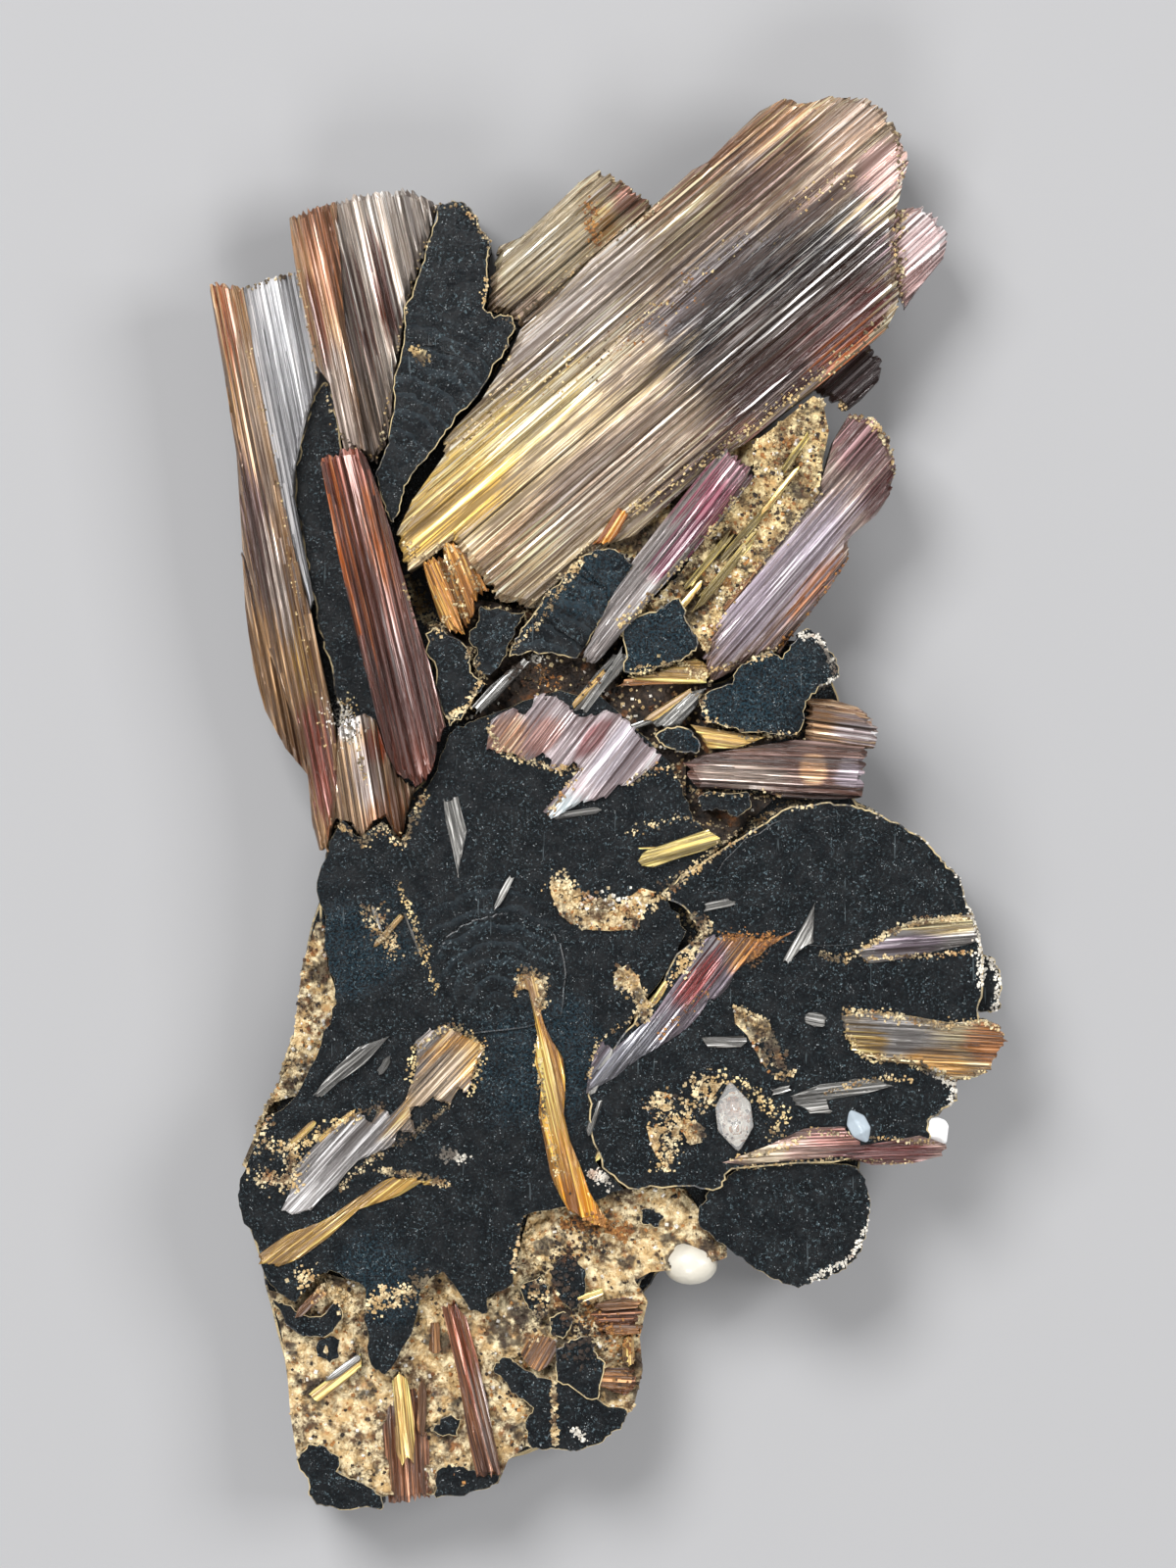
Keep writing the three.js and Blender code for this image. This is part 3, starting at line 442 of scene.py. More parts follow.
def build_shared_groups() -> None:
    """Builds the groups that several finishes use."""
    w, given, give = new_group(
        Shared.STRIAE, {"Fineness": "Float"}, {"Streak": "Float", "Glint": "Float", "GrooveShade": "Float"}
    )
    uv = w.add("UVMap", uv_map="axes").outputs[0]
    scaled = w.add("VectorMath", {0: uv, "Scale": given("Fineness")}, operation="SCALE").outputs[0]
    broad = w.cloud(w.stretch(scaled, (1.0, 0.06, 1.0)), 2.4, 4.0, 0.65)
    fine = w.cloud(w.stretch(scaled, (1.0, 0.02, 1.0)), 14.0, 4.0, 0.65)
    blend = w.math("ADD", w.times(broad, 0.5), w.times(fine, 0.5))
    give("Streak", w.spread(blend, 0.44, 0.53))
    # Glint: where the rutile's painted highlights go.
    give("Glint", w.times(w.spread(fine, 0.52, 0.57), w.spread(broad, 0.45, 0.55)))
    # How deep each line falls, which sets the painted shade in the grooves.
    depth = w.add("Attribute", attribute_name="groove").outputs["Fac"]
    give("GrooveShade", w.spread(depth, 0.25, 0.8))

    w, given, give = new_group(
        Shared.PATCH, {"Centre": "Vector", "Reach": "Vector", "Ragged": "Float"}, {"Mask": "Float"}
    )
    uv = w.add("UVMap", uv_map="axes").outputs[0]
    away = w.add("VectorMath", {0: uv, 1: given("Centre")}, operation="SUBTRACT").outputs[0]
    share = w.add("VectorMath", {0: away, 1: given("Reach")}, operation="DIVIDE").outputs[0]
    distance = w.add("VectorMath", {0: share}, operation="LENGTH").outputs["Value"]
    streaks = w.math("SUBTRACT", w.cloud(w.stretch(uv, (1.0, 0.08, 1.0)), 6.0, 4.0), 0.5)
    wobble = w.times(streaks, given("Ragged"))
    give("Mask", w.spread(w.math("ADD", distance, wobble), 0.6, 1.1, (1, 0)))

    w, given, give = new_group(
        Shared.ZONE, {"Centre": "Vector", "Radius": "Float", "Ragged": "Float"}, {"Mask": "Float"}
    )
    here = w.here()
    away = w.add("VectorMath", {0: here, 1: given("Centre")}, operation="DISTANCE").outputs["Value"]
    wobble = w.times(w.math("SUBTRACT", w.cloud(here, 900.0), 0.5), given("Ragged"))
    share = w.math("ADD", w.math("DIVIDE", away, given("Radius")), wobble)
    give("Mask", w.spread(share, 0.5, 1.15, (1, 0)))

    w, given, give = new_group(
        Shared.GRAIN, {"Scale": "Float"}, {"Mottle": "Float", "Specks": "Float", "Height": "Float"}
    )
    here = w.here()
    scaled = w.add("VectorMath", {0: here, "Scale": given("Scale")}, operation="SCALE").outputs[0]
    cells = w.add("TexVoronoi", {"Vector": scaled, "Scale": 1.0}).outputs["Distance"]
    give("Mottle", w.spread(w.cloud(scaled, 0.5, 5.0, 0.7), 0.42, 0.66))
    give("Specks", w.spread(w.cloud(scaled, 1.1, 4.0, 0.7), 0.6, 0.7))
    give("Height", w.math("SUBTRACT", 1.0, cells))


def new_material(name: str, roughness: float, **sockets: object) -> tuple[Wiring, bpy.types.Node]:
    """Starts a material.

    Args:
        name: Its name.
        roughness: Its roughness where nothing varies it.
        sockets: Other plain values of its shader, by socket name with underscores.

    Returns:
        Its wiring and its shader.
    """
    material = bpy.data.materials.new(name)
    material.use_nodes = True
    shader = material.node_tree.nodes["Principled BSDF"]
    shader.inputs["Roughness"].default_value = roughness
    for key, value in sockets.items():
        shader.inputs[key.replace("_", " ")].default_value = value
    return Wiring(material.node_tree), shader


def bump(w: Wiring, shader: bpy.types.Node, height: object, distance: float, strength: float = 1.0) -> None:
    """Leads a height into a shader's normal.

    Args:
        w: The material's wiring.
        shader: Its shader.
        height: The height, from 0 to 1.
        distance: What 1 stands for, in metres.
        strength: How much of it shows.
    """
    node = w.add("Bump", {"Height": height, "Distance": distance, "Strength": strength})
    w.fill(shader.inputs["Normal"], node.outputs[0])


@dataclass(frozen=True)
class Finish:
    """A procedural finish. Each kind wires its own shader."""

    name: str

    def material(self) -> bpy.types.Material:
        """Builds the finish's material, the first time that it is asked for.

        Returns:
            The material.
        """
        if self.name not in bpy.data.materials:
            self.wire()
        return bpy.data.materials[self.name]


@dataclass(frozen=True)
class Patch:
    """A coloured patch of a crystal, round a pixel of the photograph and drawn out along the crystal."""

    x: float
    y: float
    radius: float
    colour: int
    long: float = 2.0
    ragged: float = 1.5

    def over(self, w: Wiring, base: object, axis: float) -> bpy.types.NodeSocket:
        """Lays the patch over a colour.

        Args:
            w: The material's wiring.
            base: The colour under it.
            axis: The crystal's axis in degrees from +X.

        Returns:
            The colour with the patch.
        """
        spot = Matrix.Rotation(math.radians(-axis), 2) @ Vector(place(self.x, self.y)) / MM
        reach = self.radius * PIXEL / MM
        centre, reach = (spot.y, spot.x, 0), (reach, reach * self.long, 1)
        node = w.group(Shared.PATCH, Centre=centre, Reach=reach, Ragged=self.ragged)
        return w.mix(node.outputs["Mask"], base, tone(self.colour))


@dataclass(frozen=True)
class RutileFinish(Finish):
    """Rutile: streaks along the crystal, with painted shade in the grooves and painted highlights on the
    crests.
    """

    body: int
    # The colour of the painted shade in the grooves and dark streaks.
    groove: int = 0x1E1412
    # The colour of the painted highlights.
    painted_highlight: int = 0xE6DCDC
    axis: float = 0.0
    patches: tuple[Patch, ...] = ()
    gloss: float = 0.26
    metallic: float = 0.12
    fineness: float = 1.0
    glints: float = 0.85
    gleam: float = 0.3
    shade: float = 0.8
    brightness: float = 3.0

    def wire(self) -> None:
        """Wires the material."""
        w, shader = new_material(self.name, self.gloss, Metallic=self.metallic, IOR=1.62)
        streaks = w.group(Shared.STRIAE, Fineness=self.fineness)
        body = tone(self.body)
        for patch in self.patches:
            body = patch.over(w, body, self.axis)
        # Dark streaks: painted shade, the body drawn towards the groove colour.
        dark = w.mix(self.shade, body, tone(self.groove))
        colour = w.mix(streaks.outputs["Streak"], dark, body)
        # Painted highlights: the body brightened and drawn towards the highlight colour, laid on where the
        # glint mask is high.
        bright = w.mix(1.0, body, (self.brightness,) * 3, "MULTIPLY")
        bright = w.mix(self.gleam, bright, tone(self.painted_highlight))
        colour = w.mix(w.times(streaks.outputs["Glint"], self.glints), colour, bright)
        # Painted shade in the grooves, darker where the crystal's lines fall deeper.
        colour = w.mix(w.times(streaks.outputs["GrooveShade"], 0.5), colour, tone(self.groove))
        w.fill(shader.inputs["Base Color"], colour)
        rough = w.spread(streaks.outputs["Streak"], 0.0, 1.0, (self.gloss + 0.14, self.gloss - 0.07))
        w.fill(shader.inputs["Roughness"], rough)
        bump(w, shader, streaks.outputs["Streak"], 0.02 * MM)


@dataclass(frozen=True)
class Zone:
    """A round patch of a plate, round a pixel of the photograph."""

    x: float
    y: float
    radius: float
    ragged: float = 0.5

    def mask(self, w: Wiring) -> bpy.types.NodeSocket:
        """Wires the patch's mask.

        Args:
            w: The material's wiring.

        Returns:
            The mask, 1 inside the patch.
        """
        centre = (*place(self.x, self.y), FACE * MM)
        node = w.group(Shared.ZONE, Centre=centre, Radius=self.radius * PIXEL, Ragged=self.ragged)
        return node.outputs["Mask"]


@dataclass(frozen=True)
class HematiteFinish(Finish):
    """Black hematite: a pitted satin with a painted bluish sheen in patches, with growth arcs, specks and
    fine scratches.
    """

    name: str = "hematite_black"
    body: int = 0x060709
    sheen_blue: int = 0x13262F
    arc_grey: int = 0x2E383E
    speck: int = 0x8E9496
    fleck: int = 0x1C2427
    sheens: tuple[Zone, ...] = (
        Zone(660, 665, 60, 1.4), Zone(790, 690, 60, 1.4), Zone(740, 730, 50, 1.4), Zone(360, 960, 60, 1.8),
        Zone(550, 1080, 70, 2.0), Zone(390, 1310, 50, 1.8), Zone(600, 590, 60, 1.4),
    )
    glitter: int = 0x55656B
    scratched: int = 0x5C666A
    arcs: tuple[tuple[Zone, tuple[float, float]], ...] = (
        (Zone(500, 962, 74, 0.4), (508, 1030)), (Zone(440, 395, 84, 0.4), (400, 470)),
        (Zone(572, 636, 84, 0.4), (540, 706)),
    )
    arc_scale: float = 900.0
    fleck_scale: float = 17000.0
    spark_scale: float = 15000.0
    speck_scale: float = 22000.0
    pit_scale: float = 26000.0
    arc_share: float = 0.24
    fleck_share: float = 0.3
    sheen_share: float = 0.8
    scratch_share: float = 0.25
    gloss: tuple[float, float] = (0.15, 0.27)

    def wire(self) -> None:
        """Wires the material."""
        w, shader = new_material(self.name, 0.22, Specular_IOR_Level=0.26)
        here = w.here()
        colour = tone(self.body)
        flecks = w.spread(w.cloud(here, self.fleck_scale, 4.0, 0.7), 0.42, 0.64)
        colour = w.mix(w.times(flecks, self.fleck_share), colour, tone(self.fleck))
        # Painted sheen: bluish patches over the flecks.
        for sheen in self.sheens:
            share = w.times(w.times(sheen.mask(w), flecks), self.sheen_share)
            colour = w.mix(share, colour, tone(self.sheen_blue))
        for zone, middle in self.arcs:
            centre = (*place(*middle), 0.0)
            centred = w.add("VectorMath", {0: here, 1: centre}, operation="SUBTRACT").outputs[0]
            flat = w.stretch(centred, (1.0, 1.0, 0.0))
            wave = w.add(
                "TexWave", {"Vector": flat, "Scale": self.arc_scale, "Distortion": 5.0, "Detail": 4.0},
                wave_type="RINGS", rings_direction="SPHERICAL", wave_profile="SAW",
            )
            wave.inputs["Detail Scale"].default_value = 2.0
            share = w.times(w.spread(wave.outputs["Fac"], 0.5, 1.0), w.times(zone.mask(w), self.arc_share))
            colour = w.mix(share, colour, tone(self.arc_grey))
        sparks = w.spread(w.cloud(here, self.spark_scale, 5.0, 0.8), 0.56, 0.62)
        coarse = w.spread(w.cloud(here, 2200.0, 4.0, 0.6), 0.42, 0.6, (0.1, 0.6))
        colour = w.mix(w.times(sparks, coarse), colour, tone(self.glitter))
        specks = w.add("TexVoronoi", {"Vector": here, "Scale": self.speck_scale}).outputs["Distance"]
        rare = w.spread(w.cloud(here, 9000.0, 3.0), 0.56, 0.64)
        share = w.times(w.spread(specks, 0.1, 0.34, (0.7, 0)), rare)
        colour = w.mix(share, colour, tone(self.speck))
        scratch = w.cloud(w.stretch(here, (9000.0, 700.0, 0.0)), 1.0, 2.0)
        marks = w.times(w.spread(scratch, 0.7, 0.74), self.scratch_share)
        colour = w.mix(marks, colour, tone(self.scratched))
        w.fill(shader.inputs["Base Color"], colour)
        patchy = w.cloud(here, 3000.0, 5.0)
        w.fill(shader.inputs["Roughness"], w.spread(patchy, 0.35, 0.65, self.gloss))
        pits, swells = w.cloud(here, self.pit_scale, 3.0, 0.7), w.cloud(here, 6000.0, 3.0)
        relief = w.math("ADD", w.times(pits, 0.5), w.times(swells, 0.3))
        bump(w, shader, relief, 0.014 * MM, 0.85)


@dataclass(frozen=True)
class ClayAndRimHighlightFinish(Finish):
    """The top rim of a plate: pale clay and painted rim highlight that fill it in places, over black
    hematite.
    """

    name: str = "clay_and_rim_highlight"
    clay: int = 0xB9A882
    shade: int = 0x7D6B48
    dark: int = 0x17171A

    def wire(self) -> None:
        """Wires the material."""
        w, shader = new_material(self.name, 0.6)
        here = w.here()
        share = w.spread(w.cloud(here, 1600.0, 5.0, 0.7), 0.4, 0.56)
        pale = w.mix(w.cloud(here, 9000.0, 3.0), tone(self.clay), tone(self.shade))
        w.fill(shader.inputs["Base Color"], w.mix(share, tone(self.dark), pale))
        w.fill(shader.inputs["Roughness"], w.spread(share, 0.0, 1.0, (0.35, 0.9)))
        bump(w, shader, w.cloud(here, 9000.0, 4.0), 0.02 * MM)


@dataclass(frozen=True)
class EarthFinish(Finish):
    """Clay or ochre: granular and matt, of three mottled colours, with dark specks and patches of painted
    shade.
    """

    pale: int
    middle: int
    deep: int
    rust: int = 0x8A5426
    speck: int = 0x2A211A
    scale: float = 9000.0

    def wire(self) -> None:
        """Wires the material."""
        w, shader = new_material(self.name, 0.93)
        grain = w.group(Shared.GRAIN, Scale=self.scale)
        here = w.here()
        stains = w.spread(w.cloud(here, 1500.0, 5.0, 0.65), 0.4, 0.58)
        colour = w.mix(stains, tone(self.middle), tone(self.deep))
        rusty = w.times(w.spread(w.cloud(here, 2100.0, 3.0, 0.6), 0.56, 0.68), 0.5)
        colour = w.mix(rusty, colour, tone(self.rust))
        colour = w.mix(w.times(grain.outputs["Mottle"], 0.85), colour, tone(self.pale))
        colour = w.mix(grain.outputs["Specks"], colour, tone(self.speck))
        # Painted shade: dark patches that stand for the earth's hollow places.
        hollow_shade = w.times(w.spread(w.cloud(here, 800.0, 4.0, 0.7), 0.52, 0.6), 0.85)
        colour = w.mix(hollow_shade, colour, tone(self.speck))
        w.fill(shader.inputs["Base Color"], colour)
        lumps = w.times(w.cloud(here, 4000.0, 4.0, 0.7), 2.0)
        relief = w.math("ADD", grain.outputs["Height"], lumps)
        bump(w, shader, relief, 0.04 * MM)


@dataclass(frozen=True)
class QuartzFinish(Finish):
    """Quartz, clear or milky."""

    colour: Colour
    clear: float
    roughness: float

    def wire(self) -> None:
        """Wires the material."""
        w, shader = new_material(
            self.name, self.roughness, IOR=1.544, Transmission_Weight=self.clear, Coat_Weight=0.3
        )
        here = w.here()
        veil = w.spread(w.cloud(here, 2600.0, 3.0), 0.4, 0.7)
        cloudy = tuple(0.93 * c for c in self.colour)
        w.fill(shader.inputs["Base Color"], w.mix(veil, self.colour, cloudy))
        bump(w, shader, w.cloud(here, 4000.0, 3.0), 0.03 * MM, 0.5)


class Earth(Enum):
    """The finishes of clay, ochre and their grains."""

    CREAM = EarthFinish("clay_cream", 0xDACAA4, 0xA4885C, 0x483420)
    OCHRE = EarthFinish("ochre_granular", 0xDCCA9C, 0xAC9264, 0x54402A, rust=0x966A34)
    DARK = EarthFinish("dark_grain", 0x3A2C20, 0x241A14, 0x120E0C)
    RUST = EarthFinish("rusty_grain", 0xAC7C42, 0x86562A, 0x563218)
    WHITE = EarthFinish("sugary_grain", 0xE0DCD2, 0xC2BCB0, 0x9C968C)


class Rutile(Enum):
    """The rutile crystals' finishes."""

    MAIN = RutileFinish(
        "rutile_main", 0xD2BA90, 0x301C10, 0xFFFAF2, 40.5, glints=0.95, gleam=0.34, patches=(
        Patch(770, 215, 112, 0x96826C, 2.1), Patch(778, 180, 24, 0x866658, 3.6),
        Patch(690, 232, 20, 0xB09A74, 4.0), Patch(716, 160, 27, 0xCC946A, 4.0),
        Patch(792, 116, 38, 0xCE9A6C, 1.6), Patch(861, 130, 38, 0xE0BC9E, 1.3),
        Patch(902, 176, 34, 0xD8B0A6, 1.2), Patch(836, 200, 20, 0x8C7264, 3.0),
        Patch(730, 297, 40, 0x6C6468, 2.8), Patch(885, 262, 36, 0x92727E, 1.5),
        Patch(790, 322, 92, 0x0A0408, 2.0, 1.3), Patch(806, 384, 50, 0x260A12, 3.0),
        Patch(862, 330, 28, 0x4A1418, 2.4), Patch(872, 364, 17, 0xB85A1A, 3.0),
        Patch(725, 470, 20, 0x6A3016, 4.0), Patch(709, 490, 22, 0x3A2018, 3.0),
        Patch(578, 312, 40, 0xDCCCBC, 3.0), Patch(627, 476, 44, 0xC0A890, 3.2),
        Patch(496, 462, 30, 0xF2CE74, 4.2), Patch(461, 517, 36, 0xEEC262, 2.6),
        Patch(560, 420, 20, 0xF0D898, 4.4), Patch(523, 558, 30, 0xBE9C76, 2.4),
        Patch(640, 372, 20, 0xA8947C, 2.6),
    ))
    TOP = RutileFinish("rutile_top", 0xBAA27E, 0x30200F, axis=41, patches=(
        Patch(606, 225, 30, 0xB07C2C, 0.8), Patch(530, 306, 50, 0x6A5640, 1.2),
        Patch(645, 200, 22, 0x9C6A58, 1.2), Patch(560, 250, 40, 0xC8B692, 1.8),
    ))
    TIP = RutileFinish("rutile_tip", 0xA07E7A, axis=42, patches=(Patch(950, 240, 30, 0xD4B8B6, 1.4),))
    STUB_DARK = RutileFinish("rutile_stub_dark", 0x2C1414, glints=0.25, axis=42)
    NEEDLE = RutileFinish("rutile_needle", 0xC87A22, 0x5A2408, axis=57)
    RIGHT = RutileFinish("rutile_right", 0xB49C90, 0x321C16, axis=49, patches=(
        Patch(885, 445, 40, 0x8A6466, 1.2), Patch(760, 650, 60, 0x7A6050, 1.6),
        Patch(905, 500, 26, 0x4A1C1C, 1.8), Patch(800, 590, 34, 0xB4A8B4, 3.4),
        Patch(840, 600, 18, 0x9A5A20, 3.0),
    ))
    LEFT_BACK = RutileFinish("rutile_left_back", 0xB6A698, axis=103, patches=(
        Patch(392, 300, 10, 0x4A2416, 8.0), Patch(368, 340, 12, 0x5E3018, 8.0),
        Patch(380, 440, 40, 0x7E6C5C, 2.0),
    ))
    LEFT_FRONT = RutileFinish("rutile_left_front", 0xB68C66, 0x341C10, axis=102, patches=(
        Patch(332, 255, 26, 0xA06A48, 3.0), Patch(345, 420, 34, 0x8A7C70, 2.6),
        Patch(322, 320, 10, 0x5A2E18, 6.0),
    ))
    GREY = RutileFinish("rutile_grey", 0xB6B6B8, 0x2A2628, axis=101)
    LONG = RutileFinish("rutile_long", 0xA47E56, 0x301A10, axis=101, patches=(
        Patch(240, 350, 12, 0x8A4A20, 8.0), Patch(262, 430, 14, 0xA08870, 9.0),
        Patch(258, 540, 20, 0x5A4440, 5.0), Patch(300, 640, 9, 0xD0A040, 9.0),
        Patch(330, 780, 24, 0x7A3420, 3.0), Patch(285, 600, 14, 0x96887E, 5.0),
    ))
    RED = RutileFinish("rutile_column_red", 0x6E3828, 0x200C08, 0xF4E6E2, 103, gleam=0.4, patches=(
        Patch(345, 560, 9, 0xC8641A, 16.0), Patch(392, 600, 12, 0x8C5A4C, 9.0),
        Patch(380, 540, 9, 0xB0643A, 8.0), Patch(425, 700, 20, 0x5E3A34, 4.0),
        Patch(360, 480, 18, 0x8A4630, 1.6),
    ))
    ROOTS = RutileFinish("rutile_roots", 0xB09070, 0x341C10, axis=99, patches=(
        Patch(352, 735, 22, 0xD8D4D2, 1.0), Patch(400, 835, 30, 0x7A4A1E, 1.4),
        Patch(372, 790, 14, 0xA89890, 3.0), Patch(385, 760, 10, 0x9A3E12, 2.4),
    ))
    PINK = RutileFinish("rutile_pink", 0xACA29E, axis=51.5, patches=(
        Patch(735, 500, 36, 0x7A2C44, 2.0), Patch(755, 475, 22, 0xA0707A, 1.4),
        Patch(690, 560, 18, 0x5E2038, 2.6),
    ))
    STUB = RutileFinish("rutile_stub", 0xBE803E, 0x3A1C0A, 0xE6CFA0, axis=113)
    CROSS = RutileFinish("rutile_cross", 0xB4A6A8, 0x38201E, 0xF2ECEC, axis=47, patches=(
        Patch(522, 748, 24, 0xC09070, 1.4), Patch(560, 745, 18, 0xA87A70, 1.6),
        Patch(640, 765, 26, 0x9E969C, 2.2), Patch(612, 752, 12, 0x8E5A5C, 2.4),
        Patch(575, 830, 20, 0x98A0A2, 1.6),
    ))
    PURPLE = RutileFinish("rutile_purple", 0x6A5E66, 0x181014, 0xC8C6CE, axis=52, fineness=1.5, patches=(
        Patch(775, 960, 40, 0xB0702A, 1.0), Patch(712, 1000, 12, 0x9A3A34, 3.6),
        Patch(640, 1085, 30, 0x6C6C72, 2.4),
    ))
    SILVER = RutileFinish("rutile_silver_inlay", 0x8E8A86, axis=4, fineness=1.6, patches=(
        Patch(960, 940, 16, 0xC0A878, 3.0), Patch(930, 965, 14, 0x6A5E68, 3.0),
    ))
    EAST = RutileFinish("rutile_east", 0xAE9874, axis=-3, fineness=1.6, patches=(
        Patch(900, 1055, 26, 0xA8A4A0, 2.6), Patch(1010, 1065, 30, 0xA8682E, 1.0),
        Patch(960, 1085, 18, 0xA67838, 2.6), Patch(880, 1065, 20, 0xB4904E, 1.4),
    ))
    SOUTHEAST = RutileFinish("rutile_southeast", 0x92766A, 0x2A1210, axis=2, fineness=1.6, patches=(
        Patch(900, 1178, 18, 0x5A2A26, 3.6), Patch(850, 1160, 14, 0x9A6A60, 2.4),
        Patch(780, 1180, 14, 0xA09078, 2.4),
    ))
    BLOCK = RutileFinish("rutile_block", 0x6A4C42, painted_highlight=0xEEE6E4, axis=-3, patches=(
        Patch(830, 785, 20, 0xD0A078, 0.8, 0.3), Patch(868, 790, 18, 0x9C8E96, 1.0),
        Patch(760, 790, 16, 0x8E7C70, 3.6),
    ))
    BLOCK_STUB = RutileFinish("rutile_block_stub", 0xB0845E, axis=-8, patches=(
        Patch(880, 745, 20, 0xB4A0A0, 1.6),
    ))
    WEST = RutileFinish("rutile_west", 0x9C948E, axis=47, fineness=1.5, patches=(
        Patch(465, 1085, 34, 0xB88238, 1.6), Patch(440, 1112, 24, 0xA08A70, 2.6),
        Patch(395, 1142, 20, 0xC09048, 1.8), Patch(330, 1205, 46, 0xA8A4A2, 2.4),
    ))
    SOUTHWEST = RutileFinish("rutile_southwest", 0xB28C48, 0x4A3010, 0xE8D8A8, axis=38)
    AMBER = RutileFinish("rutile_fan_amber", 0xBE8838, 0x4E2A0C, 0xE8C88A, axis=103, patches=(
        Patch(600, 1235, 34, 0xC8801A, 1.2), Patch(560, 1110, 12, 0xBE9A5A, 5.0),
        Patch(546, 1010, 20, 0xA88A60, 1.4),
    ))
    SOUTH = RutileFinish("rutile_south", 0x86583E, 0x26120C, 0xD8BCA0, axis=104, patches=(
        Patch(480, 1390, 12, 0x8A4428, 6.0), Patch(500, 1450, 10, 0xA49088, 6.0),
        Patch(415, 1512, 40, 0x5C2216, 0.9), Patch(415, 1450, 40, 0xA87C38, 0.9),
    ))
    BROWN = RutileFinish("rutile_brown", 0x865E3C, 0x2A160A, 0xD8C09A)
    GOLDEN = RutileFinish("rutile_golden_chips", 0xC29E5C, 0x4E3414, 0xECDCB0)
    OLIVE = RutileFinish("rutile_olive_chips", 0xA08C50, 0x3A2E12, 0xE8DCB0)
    PALE = RutileFinish("rutile_pale_chips", 0x7C7A76, 0x1E1C1A, 0xDCDCDC, fineness=1.7)


@dataclass(frozen=True)
class Crystal:
    """One striated crystal, trimmed to its outline. Sizes are in mm, axis in degrees from +X."""

    finish: Rutile
    axis: float
    high: float
    seed: int
    outline: Outline
    low: float = BLADE_LOW
    relief: float = 0.13
    crown: float = 0.26
    pitch: float = 0.05
    chamfer: float = 0.16
    segment: float = 0.55
    broken: float = 0.14
    layer: float = 0.14
    step_chance: float = 0.14
    groove_chance: float = 0.1
    ripple: float = 0.25
    wander: float = 0.3
    deepest: float = 0.8
    back_relief: float = 0.4

    def falls(self, count: int, draw: random.Random) -> list[float]:
        """How far each line across the crystal lies below its top.

        Args:
            count: How many lines there are.
            draw: The random draws.

        Returns:
            A fall for each line, in metres.
        """
        result = []
        level = 0.0
        for line in range(count):
            if draw.random() < self.step_chance:
                level = self.relief * draw.random()
            across = 2 * line / max(1, count - 1) - 1
            grooved = line % 3 == 2 or draw.random() < self.groove_chance
            groove = self.relief * draw.uniform(0.3, 0.9) if grooved else 0.0
            ripple = self.ripple * self.relief * draw.random()
            result.append((level + groove + ripple + self.crown * across**2) * MM)
        return result

    def break_ends(self, bm: bmesh.types.BMesh, low: float, high: float, draw: random.Random) -> None:
        """Draws the crystal's ends back by a little of its own at each line.

        Args:
            bm: The crystal, with its axis along x.
            low, high: The range of its lines, across it.
            draw: The random draws.
        """
        count = 2 + round((high - low) / (self.pitch * MM))
        backs = [self.broken * MM * draw.random() ** 2 for _ in range(count)]
        bm.normal_update()
        ends = {}
        for face in bm.faces:
            if abs(face.normal.x) > STEEP and abs(face.normal.z) < STEEP:
                ends.update({vert: math.copysign(1, face.normal.x) for vert in face.verts})
        for vert, side in ends.items():
            line = min(len(backs) - 1, round((vert.co.y - low) / (self.pitch * MM)))
            vert.co.x -= side * backs[line]

    def line_sides(self, bm: bmesh.types.BMesh, draw: random.Random) -> None:
        """Draws the crystal's long sides in by a little of its own at each level.

        Args:
            bm: The crystal, with its axis along x.
            draw: The random draws.
        """
        bm.normal_update()
        backs = [0.5 * self.relief * MM * draw.random() for _ in range(2 + round(self.high / self.layer))]
        for vert in bm.verts:
            if abs(vert.normal.y) > SIDEWAYS and abs(vert.normal.z) < SIDEWAYS:
                vert.co.y -= math.copysign(backs[round(vert.co.z / (self.layer * MM))], vert.normal.y)

    def lay_axes(self, bm: bmesh.types.BMesh) -> None:
        """Gives the crystal a UV map in mm, round it first and then along it.

        Args:
            bm: The crystal, with its axis along x.
        """
        layer = bm.loops.layers.uv.new("axes")
        bm.normal_update()
        for face in bm.faces:
            beside = abs(face.normal.y) > max(abs(face.normal.x), abs(face.normal.z))
            for loop in face.loops:
                below = math.copysign(self.high * MM - loop.vert.co.z, face.normal.y) if beside else 0.0
                loop[layer].uv = ((loop.vert.co.y + below) / MM, loop.vert.co.x / MM)

    def mesh(self) -> bmesh.types.BMesh:
        """Builds the crystal.

        Returns:
            Its mesh, in place, with a UV map whose axes run across and along it in millimetres.
        """
        draw = random.Random(self.seed)
        bm = bmesh.new()
        face = outline_face(bm, self.outline, self.low)
        tops = raise_face(bm, face, (self.high - self.low) * MM)
        rim = {edge for flat in (face, *tops) for edge in flat.edges}
        bevel(bm, rim, self.chamfer * MM, 1)
        turn = Matrix.Rotation(math.radians(-self.axis), 4, "Z")
        bmesh.ops.transform(bm, matrix=turn, verts=bm.verts)
        lines = steps(min(v.co.y for v in bm.verts), max(v.co.y for v in bm.verts), self.pitch * MM)
        cuts = steps(min(v.co.x for v in bm.verts), max(v.co.x for v in bm.verts), self.segment * MM)
        slice_mesh(bm, Y_AXIS, lines)
        low_y, high_y = min(v.co.y for v in bm.verts), max(v.co.y for v in bm.verts)
        self.break_ends(bm, low_y, high_y, draw)
        slice_mesh(bm, X_AXIS, cuts)
        slice_mesh(bm, Z_AXIS, steps(self.low * MM, self.high * MM, self.layer * MM))
        self.line_sides(bm, draw)
        top_falls, back_falls = self.falls(len(lines) + 2, draw), self.falls(len(lines) + 2, draw)
        thickness = (self.high - self.low) * MM
